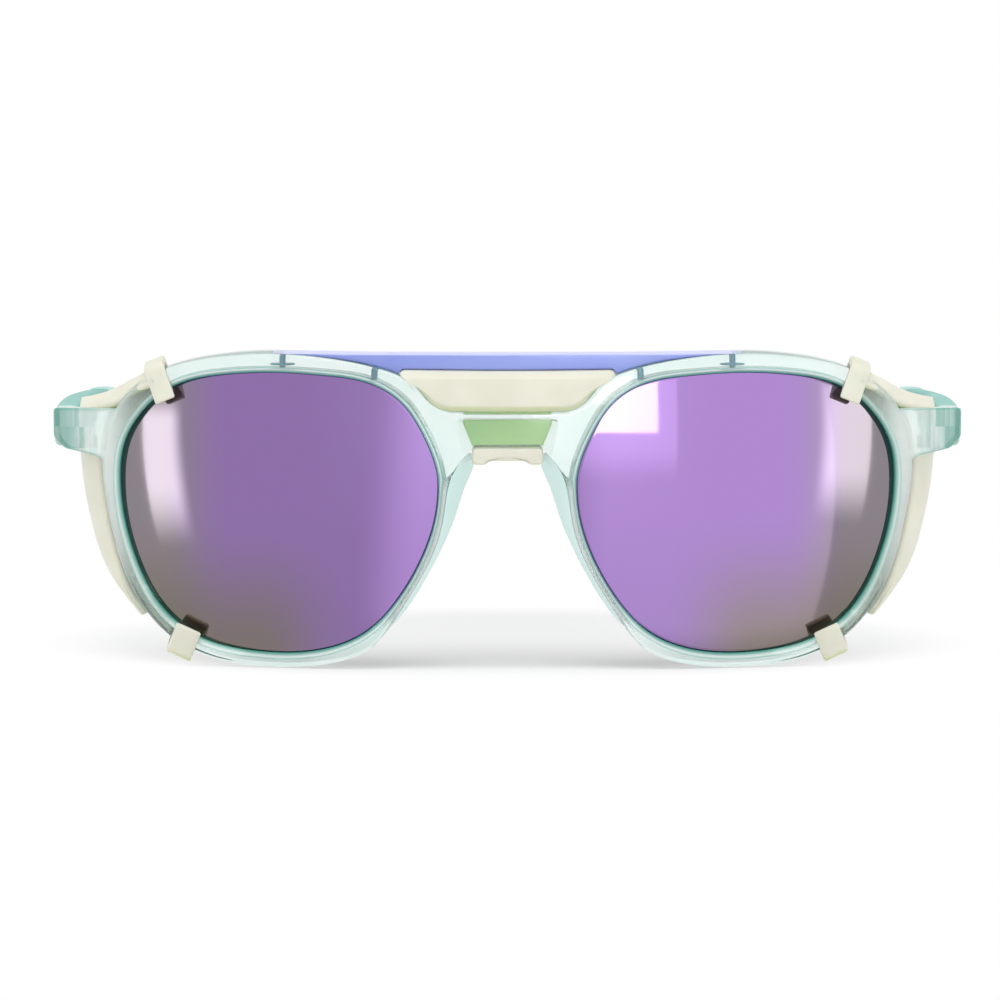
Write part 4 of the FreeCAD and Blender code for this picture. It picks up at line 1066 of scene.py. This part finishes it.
def uneven(tree, place, size_mm, low, high):
    """A value that wanders between low and high over patches of size_mm."""
    noise = node(tree, "ShaderNodeTexNoise",
                 {"Vector": place, "Scale": 1 / (size_mm * MM), "Detail": 2.0})
    return node(tree, "ShaderNodeMapRange",
                {"Value": noise.outputs["Fac"], "From Min": 0.3, "From Max": 0.7,
                 "To Min": low, "To Max": high},
                interpolation_type="SMOOTHSTEP").outputs["Result"]


def mottled(tree, place, size_mm, colours):
    """Colours that drift into one another over patches of size_mm."""
    drift = uneven(tree, place, size_mm, 0.0, 1.0)
    return node(tree, "ShaderNodeValToRGB", {"Fac": drift}, colours).outputs["Color"]


def satin(name, patches, roughness=None, relief=None, **sockets):
    """A finish with drifting colours, given as (size, colours), and where they wander,
    roughness as (size, low, high) and relief as (size, strength, depth)."""
    made, tree, shader, place = finish(name, **sockets)
    tree.links.new(mottled(tree, place, *patches), shader.inputs["Base Color"])
    if roughness:
        tree.links.new(uneven(tree, place, *roughness), shader.inputs["Roughness"])
    if relief:
        tree.links.new(grain(tree, place, *relief), shader.inputs["Normal"])
    return made, tree, shader, place


# %% [markdown]
# ### Clear mint polyamide
# Amorphous nylon, injection moulded and tumble polished. It is nearly colourless through
# a thin wall and teal along a long path. A tinted surface would colour both alike, so the
# tint is absorption inside the volume. The faint waviness of the mould gives it soft
# highlights.

# %% Clear nylon
def clear_nylon(name, colours, tint, density, **sockets):
    """Drifting surface colours, a tumbled polish and the mould's waviness outside, and
    inside a tint that deepens with the way that light goes."""
    made, tree, shader, place = satin(name, (12.0, colours), (9.0, 0.015, 0.06),
                                      (6.0, 0.12, 0.05, 1.0), IOR=1.51, **sockets)
    inside = node(tree, "ShaderNodeVolumeAbsorption", {"Color": linear(tint), "Density": density})
    tree.links.new(inside.outputs[0], tree.nodes["Material Output"].inputs["Volume"])
    return made, tree, shader, place


def clearer_inwards(tree, place, inner, end):
    """Distance from the nose, and a share of clear plastic that falls from inner to end
    where the walls grow thick, 58 to 64 mm away from it."""
    across = node(tree, "ShaderNodeSeparateXYZ", {"Vector": place}).outputs["X"]
    across = node(tree, "ShaderNodeMath", {0: across}, operation="ABSOLUTE").outputs[0]
    return across, node(tree, "ShaderNodeMapRange",
                        {"Value": across, "From Min": 0.058, "From Max": 0.064,
                         "To Min": inner, "To Max": end},
                        interpolation_type="SMOOTHSTEP").outputs["Result"]


# %% [markdown]
# The front also needs what many bounces of light inside a real moulding would show: teal
# shade and a white highlight line along the wall of the opening, and pale and dark facets
# in the thick end pieces. A path tracer finds them only with far more rays, so the marks on
# the skin and cells of noise lay those colours on as painted light and shade.

# %% The clear front
# Painted light and shade: FACETS are pale glints and dark shade in the end pieces, OPENING_WALL is
# teal shade with a white highlight on the chamfer.
FACET_CELL = (0.0008, 0.1, 0.0035)      # metres: narrow, as deep as the block, and upright
FACETS = ("#eefaf6", "#dcf2ed", "#f6fffc", "#a4d3c8", "#84bfb2", "#dff1ec")
OPENING_WALL = ("#8fd8ca", "#6cc2b2", "#f2fffb", "#5fb8a8", "#459a8c")
mint, tree, shader, place = clear_nylon("clear_mint_polyamide", ("#edfbf7", "#f8fffd"),
                                        "#9ff0e4", 16.0)
across, clear = clearer_inwards(tree, place, 0.88, 0.4)
skin = shader.inputs["Base Color"].links[0].from_socket

cell = node(tree, "ShaderNodeVectorMath", {0: place, 1: FACET_CELL}, operation="SNAP")
cell = node(tree, "ShaderNodeTexWhiteNoise", {"Vector": cell.outputs[0]}).outputs["Value"]
by_end = node(tree, "ShaderNodeMapRange",
              {"Value": across, "From Min": 0.0652, "From Max": 0.0662}).outputs["Result"]
reach = node(tree, "ShaderNodeMapRange",
             {"Value": across, "From Min": 0.066, "From Max": 0.0765}).outputs["Result"]
reach = node(tree, "ShaderNodeMath", {0: cell, 1: 0.36, 2: reach}, operation="MULTIPLY_ADD")
facets = node(tree, "ShaderNodeValToRGB", {"Fac": reach.outputs[0]}, FACETS).outputs["Color"]
skin = node(tree, "ShaderNodeMix", {0: by_end, 6: skin, 7: facets}, data_type="RGBA").outputs[2]

cut, thin = (node(tree, "ShaderNodeAttribute", attribute_name=name).outputs["Fac"]
             for name in ("cut", "thin"))
on_edge = node(tree, "ShaderNodeMapRange",
               {"Value": cut, "From Min": 0.05, "From Max": 0.3}).outputs["Result"]
edge_colour = node(tree, "ShaderNodeValToRGB", {"Fac": cut}, OPENING_WALL).outputs["Color"]
skin = node(tree, "ShaderNodeMix", {0: on_edge, 6: skin, 7: edge_colour},
            data_type="RGBA").outputs[2]
tree.links.new(skin, shader.inputs["Base Color"])

most = node(tree, "ShaderNodeMath", {0: on_edge, 1: thin}, operation="MAXIMUM").outputs[0]
less = node(tree, "ShaderNodeMapRange",
            {"Value": most, "To Min": 1.0, "To Max": 0.35}).outputs["Result"]
clear = node(tree, "ShaderNodeMath", {0: clear, 1: less}, operation="MULTIPLY").outputs[0]
tree.links.new(clear, shader.inputs["Transmission Weight"])
print(mint.name, "with", len(tree.nodes), "nodes")

# %% Temple arms and nose pads, in a milkier mint
deep_mint, tree, shader, place = clear_nylon(
    "deep_mint_polyamide", ("#86cabf", "#92d3c8"), "#8fe6dc", 60.0, Specular_IOR_Level=0.0)
clear = clearer_inwards(tree, place, 0.3, 0.25)[1]
tree.links.new(clear, shader.inputs["Transmission Weight"])
# Painted light: by the hinge, where the arm lies in the end piece's shade, its colour is laid
# paler.
along = node(tree, "ShaderNodeSeparateXYZ", {"Vector": place}).outputs["Y"]
painted_light_by_hinge = node(tree, "ShaderNodeMapRange",
                {"Value": along, "From Min": -0.041, "From Max": -0.047},
                interpolation_type="SMOOTHSTEP").outputs["Result"]
skin = shader.inputs["Base Color"].links[0].from_socket
skin = node(tree, "ShaderNodeMix", {0: painted_light_by_hinge, 6: skin, 7: linear("#dcf7f1")},
            data_type="RGBA").outputs[2]
tree.links.new(skin, shader.inputs["Base Color"])

flank_mint = clear_nylon("flank_mint_polyamide", ("#bdf0e9", "#cdf5f0"), "#8fe6dc", 30.0,
                         Specular_IOR_Level=0.0, Transmission_Weight=0.4)[0]
print("mint:", deep_mint.name, flank_mint.name)

# %% [markdown]
# ### Mint sleeve
# Soft elastomer of the same tint, moulded over the wire: satin, and too milky to see
# into. Glass with a rough surface would still show the wire, so light scatters just
# under the skin instead.

# %% Mint sleeve
sleeve_mint = satin("mint_elastomer", (14.0, ("#b4dfd8", "#c0e8e1")), (5.0, 0.42, 0.55),
                    (0.35, 0.25, 0.02), Subsurface_Weight=0.25, Subsurface_Scale=0.004,
                    IOR=1.5, Sheen_Weight=0.1)[0]
print("sleeve:", sleeve_mint.name)

# %% [markdown]
# ### Cream rubber
# Thermoplastic elastomer from a spark-eroded mould: matt and slightly powdery, with a
# fine even grain. An image could carry the grain, but noise has no seams. It is drawn a
# little coarser than life so that it shows. Undersides carry a painted green reflection
# of the lenses and the clear plastic around them.

# %% Cream rubber
cream, tree, shader, place = satin("cream_rubber", (7.0, ("#e7e6d4", "#edecdb")),
                                   (2.0, 0.52, 0.68), (0.3, 0.3, 0.03), IOR=1.48,
                                   Subsurface_Weight=0.12, Subsurface_Scale=0.002,
                                   Sheen_Weight=0.15)
# Painted reflection: faces that point down are mixed towards green, for light from the lenses and
# the clear plastic.
facing = node(tree, "ShaderNodeNewGeometry").outputs["Normal"]
down = node(tree, "ShaderNodeSeparateXYZ", {"Vector": facing}).outputs["Z"]
down = node(tree, "ShaderNodeMapRange",
            {"Value": down, "From Min": -0.35, "From Max": -0.75}).outputs["Result"]
cream_with_painted_bounce = shader.inputs["Base Color"].links[0].from_socket
cream_with_painted_bounce = node(tree, "ShaderNodeMix", {0: down, 6: cream_with_painted_bounce, 7: linear("#dfe6b8")},
              data_type="RGBA").outputs[2]
tree.links.new(cream_with_painted_bounce, shader.inputs["Base Color"])

# Where the rubber lies against clear plastic, a painted green cast stands in for the light that
# reaches it through the bridge
painted_green_cast = satin("cream_rubber_painted_green_cast", (5.0, ("#caf784", "#d2fb90")), IOR=1.48, Roughness=0.5)[0]
print("cream:", cream.name, painted_green_cast.name)

# %% [markdown]
# ### Periwinkle bar
# Pigmented polyamide with a satin polish: even colour, soft highlights along its edges.
# Its upper faces carry a painted pale highlight, which one flat blue would miss.

# %% Periwinkle bar
periwinkle, tree, shader, place = satin("periwinkle_polyamide", (11.0, ("#8c9be9", "#93a3ec")),
                                        (4.0, 0.29, 0.37), (0.5, 0.08, 0.01), IOR=1.53,
                                        Coat_Weight=0.25, Coat_Roughness=0.12)
# Painted highlight: faces that point up are mixed towards a pale blue.
facing = node(tree, "ShaderNodeNewGeometry").outputs["Normal"]
up = node(tree, "ShaderNodeSeparateXYZ", {"Vector": facing}).outputs["Z"]
painted_top_highlight = node(tree, "ShaderNodeMapRange",
                {"Value": up, "From Min": 0.25, "From Max": 0.75}).outputs["Result"]
pigment_with_painted_highlight = shader.inputs["Base Color"].links[0].from_socket
pigment_with_painted_highlight = node(tree, "ShaderNodeMix", {0: painted_top_highlight, 6: pigment_with_painted_highlight, 7: linear("#cdd2fa")},
               data_type="RGBA").outputs[2]
tree.links.new(pigment_with_painted_highlight, shader.inputs["Base Color"])

# The pegs stand in clear plastic; a painted darker teal stands in for the light that reaches them
# through it
peg_painted_teal = satin("periwinkle_painted_teal_in_mint", (3.0, ("#4b97b4", "#57a6c2")), (1.0, 0.3, 0.4), IOR=1.53)[0]
print("blue:", periwinkle.name, peg_painted_teal.name)

# %% [markdown]
# ### Mirror lens
# Tinted polycarbonate with a vacuum-deposited interference mirror. The coating reflects
# purple when seen square on. Its colour is painted by place: pinker and lighter by the nose
# and higher up, bronze and grey towards the outside and the bottom, as painted reflections
# of a brighter room and of the darker floor and sides. A thin-film setting would shift the
# colour with the view, but not over the lens. The rear has no mirror: it is dark and glossy.

# %% Mirror lens
mirror, tree, shader, place = finish("purple_interference_mirror", Metallic=1.0,
                                     Coat_Weight=0.6, Coat_Roughness=0.03)
apart = node(tree, "ShaderNodeSeparateXYZ", {"Vector": place})
height = apart.outputs["Z"]
across = node(tree, "ShaderNodeMath", {0: apart.outputs["X"]}, operation="ABSOLUTE").outputs[0]
# Painted reflection: masks by place lay on the colours that the mirror would show of the room, the
# floor and the sides.
outwards, nosewards, by_nose, downwards, upwards = (
    node(tree, "ShaderNodeMapRange", {"Value": value, "From Min": start, "From Max": end},
         interpolation_type="SMOOTHSTEP").outputs["Result"]
    for value, start, end in ((across, 0.044, 0.056), (across, 0.034, 0.010),
                              (across, 0.040, 0.024), (height, 0.026, 0.002),
                              (height, 0.016, 0.046)))
pinker = node(tree, "ShaderNodeMath", {0: nosewards, 1: upwards}, operation="MULTIPLY").outputs[0]
purple, low, olive = (
    node(tree, "ShaderNodeMix", {0: share, 6: linear(a), 7: linear(b)}, data_type="RGBA").outputs[2]
    for share, a, b in ((pinker, "#8a69a7", "#9676b5"), (by_nose, "#756a66", "#8567a0"),
                        (downwards, "#857c84", "#6f6856")))
coating_with_painted_reflection = purple
for share, over in ((downwards, low), (outwards, olive)):
    coating_with_painted_reflection = node(tree, "ShaderNodeMix", {0: share, 6: coating_with_painted_reflection, 7: over}, data_type="RGBA").outputs[2]
tree.links.new(coating_with_painted_reflection, shader.inputs["Base Color"])
tree.links.new(uneven(tree, place, 12.0, 0.055, 0.075), shader.inputs["Roughness"])

lens_rear = satin("tinted_polycarbonate", (20.0, ("#2f2826", "#3a302d")), (12.0, 0.05, 0.08),
                  IOR=1.58, Coat_Weight=0.5, Coat_Roughness=0.02)[0]
lens_edge = satin("ground_lens_edge", (3.0, ("#e9f2ee", "#f3f8f5")), Roughness=0.6)[0]
print("lens:", mirror.name, lens_rear.name, lens_edge.name)

# %% [markdown]
# ### Steels
# The wire core is drawn spring steel, dull from the die; the screws are turned and a
# little darker. Both pieces are small, so drifting colour and roughness are enough, and
# the lines of the tools are left out.

# %% Steels
wire_steel = satin("drawn_spring_steel", (1.5, ("#a9b0b2", "#c3c9ca")), (0.8, 0.29, 0.4),
                   Metallic=1.0)[0]
screw_steel = satin("turned_screw_steel", (0.6, ("#8d9294", "#b9bdbe")), (0.5, 0.29, 0.45),
                    Metallic=1.0)[0]
print("steels:", wire_steel.name, screw_steel.name)

# %% [markdown]
# ## Putting it together
# Each new piece stands for its engineering node, takes its finish, and rides on the body
# that it belongs to, so it moves with the joints. Parenting by hand would do the same, but
# could name the wrong body. The wires, screws and nuts keep their own shapes.

# %% Finishes and bodies
def dress(made, material, slot, body, *nodes):
    """Gives a piece its finish, and puts it on a body in place of its nodes. The slot is not used.
    """
    made.data.materials.clear()
    made.data.materials.append(material)
    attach(made, body)
    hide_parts(*nodes)


dress(front, mint, "clear_mint_polyamide", "front", "front_frame")
dress(bar, periwinkle, "periwinkle_bar", "front", "brow_bar")
dress(guard, cream, "cream_rubber", "front", "bridge_guard")
dress(saddle, cream, "cream_rubber", "front", "nose_saddle")
for k, (side, _) in enumerate(SIDES):
    dress(pads[k], flank_mint, "clear_mint_polyamide", "front", "nose_pad_" + side)
    dress(lenses[k], mirror, "purple_mirror_lens", "front", "lens_" + side)
    dress(shields[k], cream, "cream_rubber", "front", "side_shield_" + side)
    dress(arms[k], deep_mint, "clear_mint_polyamide", "temple_" + side, "temple_arm_" + side)
    dress(sleeves[k], sleeve_mint, "mint_sleeve", "temple_" + side, "temple_tip_" + side)
    for name, steel in (("temple_core_", wire_steel), ("hinge_screw_", screw_steel),
                        ("hinge_nut_", screw_steel)):
        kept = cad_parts[name + side]
        kept.data.materials.clear()
        kept.data.materials.append(steel)
print("dressed:", 4 + 5 * len(SIDES), "new pieces")

# %% Painted colour on some faces: the saddle's lip and the bar's pegs, as seen through clear plastic
LIP_FRONT_Y, LIP_LOW_Z = -66.6, 35.0        # the saddle's lip is behind and above these
faces = saddle.data.polygons
centre, way = np.zeros((2, len(faces) * 3))
faces.foreach_get("center", centre)
faces.foreach_get("normal", way)
centre, way = centre.reshape(-1, 3) / MM, way.reshape(-1, 3)
lip = (way[:, 1] < -0.5) & (centre[:, 1] > LIP_FRONT_Y) & (centre[:, 2] > LIP_LOW_Z)
in_rims = np.arange(len(bar.data.polygons)) >= len(ribs(bar_itself)[1])
for made, material, second in ((saddle, painted_green_cast, lip), (bar, peg_painted_teal, in_rims)):
    made.data.materials.append(material)
    made.data.polygons.foreach_set("material_index", second.astype(np.int32))
print("lip faces against the bridge:", lip.sum(), "faces in the rims:", in_rims.sum())

# %% The lens has a bare rear
rings = len(LENS_RINGS)
edge_start, edge_end = (rings - 1) * LENS_COLUMNS, (rings + 2) * LENS_COLUMNS
quads_end = (2 * rings + 1) * LENS_COLUMNS      # after them the fans: front, then rear
for lens in lenses:
    lens.data.materials.append(lens_rear)
    lens.data.materials.append(lens_edge)
    index = np.zeros(len(lens.data.polygons), np.int32)
    index[edge_start:edge_end] = 2
    index[edge_end:quads_end] = index[-LENS_COLUMNS:] = 1
    lens.data.polygons.foreach_set("material_index", index)
print("faces of mirror, rear and edge:", np.bincount(index))

# %% [markdown]
# ## Studio
# A white room: a floor that keeps a soft shadow and fades to white, a plain even light,
# and strips at both sides that draw the long soft highlights on the lenses. A plane and
# one lamp would leave a grey horizon and hard shadows.

# %% Rays that look
WHITE = (1.0, 1.0, 1.0, 1.0)
PAPER, PAPER_LIFT = (0.93, 0.93, 0.93, 1.0), 0.05


def looking(tree):
    """1 for rays that come from the lens, a shiny surface or clear plastic, else 0."""
    path = node(tree, "ShaderNodeLightPath").outputs
    seen = path["Is Camera Ray"]
    for kind in ("Is Glossy Ray", "Is Transmission Ray"):
        seen = node(tree, "ShaderNodeMath", {0: seen, 1: path[kind]},
                    operation="MAXIMUM").outputs[0]
    return seen


def disc(name, radius, rows=40, columns=96):
    """Rings r = radius * s^2 about the origin, so that they are close together by the part."""
    r = radius * np.linspace(0.02, 1, rows)[:, None] ** 2
    t = np.linspace(0, 2 * math.pi, columns, endpoint=False)
    grid = np.stack([r * np.cos(t), r * np.sin(t), np.zeros((rows, columns))], -1)
    j = np.arange(columns)
    fan = np.stack([np.full(columns, rows * columns), j, (j + 1) % columns], 1)
    points = np.vstack([grid.reshape(-1, 3), np.zeros((1, 3))])
    return piece(name, points, wall(rows, columns)[:, ::-1].tolist() + fan.tolist())


# %% Floor
floor = disc("studio_floor", 2500.0)
floor.location.z = -0.1 * MM
white = bpy.data.materials.new("matt_white_paper")
white.use_nodes = True
tree = white.node_tree
tree.nodes.clear()
seen = looking(tree)
where = node(tree, "ShaderNodeTexCoord").outputs["Object"]
far = node(tree, "ShaderNodeVectorMath", {0: where}, operation="LENGTH").outputs["Value"]
fade = node(tree, "ShaderNodeMapRange", {"Value": far, "From Min": 0.050, "From Max": 0.082},
            interpolation_type="SMOOTHSTEP").outputs["Result"]
share = node(tree, "ShaderNodeMath", {0: seen, 1: fade}, operation="MULTIPLY").outputs[0]
lift = node(tree, "ShaderNodeMath", {0: seen, 1: PAPER_LIFT}, operation="MULTIPLY").outputs[0]
paper = node(tree, "ShaderNodeBsdfDiffuse", {"Color": PAPER})
haze = node(tree, "ShaderNodeEmission", {"Color": WHITE, "Strength": lift})
lifted = node(tree, "ShaderNodeAddShader", {0: paper.outputs[0], 1: haze.outputs[0]})
glow = node(tree, "ShaderNodeEmission", {"Color": WHITE, "Strength": 1.0})
both = node(tree, "ShaderNodeMixShader", {0: share, 1: lifted.outputs[0], 2: glow.outputs[0]})
node(tree, "ShaderNodeOutputMaterial", {"Surface": both.outputs[0]})
floor.data.materials.append(white)
floor.visible_glossy = False
print("floor of", len(floor.data.polygons), "faces, paper", PAPER[0])

# %% World
ROOM_LIGHT = 0.64
world = bpy.data.worlds.new("white_room")
bpy.context.scene.world = world
world.use_nodes = True
tree = world.node_tree
tree.nodes.clear()
level = node(tree, "ShaderNodeMapRange",
             {"Value": looking(tree), "To Min": ROOM_LIGHT, "To Max": 1.0}).outputs["Result"]
sky = node(tree, "ShaderNodeBackground", {"Color": WHITE, "Strength": level})
node(tree, "ShaderNodeOutputWorld", {"Surface": sky.outputs[0]})
print("room light", ROOM_LIGHT)


# %% Softboxes
def faded(data, fades):
    """Makes a lamp's light rise smoothly between two shares of its width (X) or height (Y),
    dark and bright; several such rises are multiplied."""
    data.use_nodes = True
    tree = data.node_tree
    tree.nodes.clear()
    face = node(tree, "ShaderNodeNewGeometry").outputs["Parametric"]
    on_lamp = node(tree, "ShaderNodeSeparateXYZ", {"Vector": face})
    strength = 1.0
    for axis, dark, bright in fades:
        rise = node(tree, "ShaderNodeMapRange",
                    {"Value": on_lamp.outputs[axis], "From Min": dark, "From Max": bright},
                    interpolation_type="SMOOTHSTEP").outputs["Result"]
        strength = node(tree, "ShaderNodeMath", {0: rise, 1: strength},
                        operation="MULTIPLY").outputs[0]
    light = node(tree, "ShaderNodeEmission", {"Strength": strength})
    node(tree, "ShaderNodeOutputLight", {"Surface": light.outputs[0]})


def softbox(name, azimuth, elevation, distance, wide, tall, radiance,
            about=(0.0, -0.06, 0.035), fades=(), card=False):
    """A flat lamp seen from about at azimuth from straight ahead and elevation, in degrees.
    A lamp's power is its radiance times pi times its area, and it gives light on one side.
    A card shows only in shiny surfaces."""
    a, e = math.radians(azimuth), math.radians(elevation)
    way = np.array([math.sin(a) * math.cos(e), -math.cos(a) * math.cos(e), math.sin(e)])
    data = bpy.data.lights.new(name, "AREA")
    data.shape, data.size, data.size_y = "RECTANGLE", wide, tall
    data.energy = radiance * math.pi * wide * tall
    if fades:
        faded(data, fades)
    lamp = bpy.data.objects.new(name, data)
    bpy.context.scene.collection.objects.link(lamp)
    lamp.location = np.array(about) + way * distance
    lamp.rotation_euler = Vector(way).to_track_quat("Z", "Y").to_euler()
    lamp.visible_camera = False
    lamp.visible_diffuse = not card
    return lamp


# %% Lamps
LEFT, RIGHT = (-0.055, -0.06, 0.035), (0.055, -0.06, 0.035)
softbox("strip_left", -54.9, -10.8, 0.8, 0.152, 0.466, 2.45, LEFT,
        (("X", 1.0, 0.62), ("Y", 0.0, 0.45), ("Y", 1.0, 0.81)), card=True)
softbox("strip_right", 53.3, -6, 0.8, 0.196, 0.459, 2.0, RIGHT,
        (("X", 0.0, 0.31), ("Y", 0.0, 0.4), ("Y", 1.0, 0.87)), card=True)
softbox("wall_right", 18.5, -17, 0.8, 1.02, 1.3, 0.58, RIGHT,
        (("X", 0.0, 0.24), ("Y", 0.0, 0.16)), card=True)
softbox("front_panel", 0, 0, 0.060, 0.0281, 0.0244, 3.2, (0.0212, -0.066, 0.0478), card=True)
softbox("front_glow", 0, 0, 0.062, 0.0390, 0.0460, 0.5, (0.0240, -0.066, 0.0370),
        (("Y", 0.0, 0.39),), card=True)
softbox("overhead", 0, 58, 0.9, 0.65, 0.65, 2.25)
for name, azimuth in (("side_left", -80), ("side_right", 80)):
    softbox(name, azimuth, 12, 0.9, 0.6, 0.6, 1.1).visible_glossy = False

# %% Camera
LOOK_DOWN, SENSOR = math.radians(3.2), 36.0
VIEW_WIDTH = 158 * MM                       # what the frame shows across at one metre
AIM = np.array([-0.001185, -0.0722, 0.0277])
view = bpy.data.cameras.new("eye_level")
camera = bpy.data.objects.new("eye_level", view)
bpy.context.scene.collection.objects.link(camera)
view.sensor_width, view.lens = SENSOR, SENSOR / VIEW_WIDTH
view.clip_start, view.clip_end = 0.05, 50.0
camera.location = AIM - np.array([0.0, math.cos(LOOK_DOWN), -math.sin(LOOK_DOWN)])
camera.rotation_euler = (math.pi / 2 - LOOK_DOWN, 0.0, 0.0)
bpy.context.scene.camera = camera
bpy.context.scene.view_settings.view_transform = "Standard"
print("camera at", [round(c, 3) for c in camera.location])
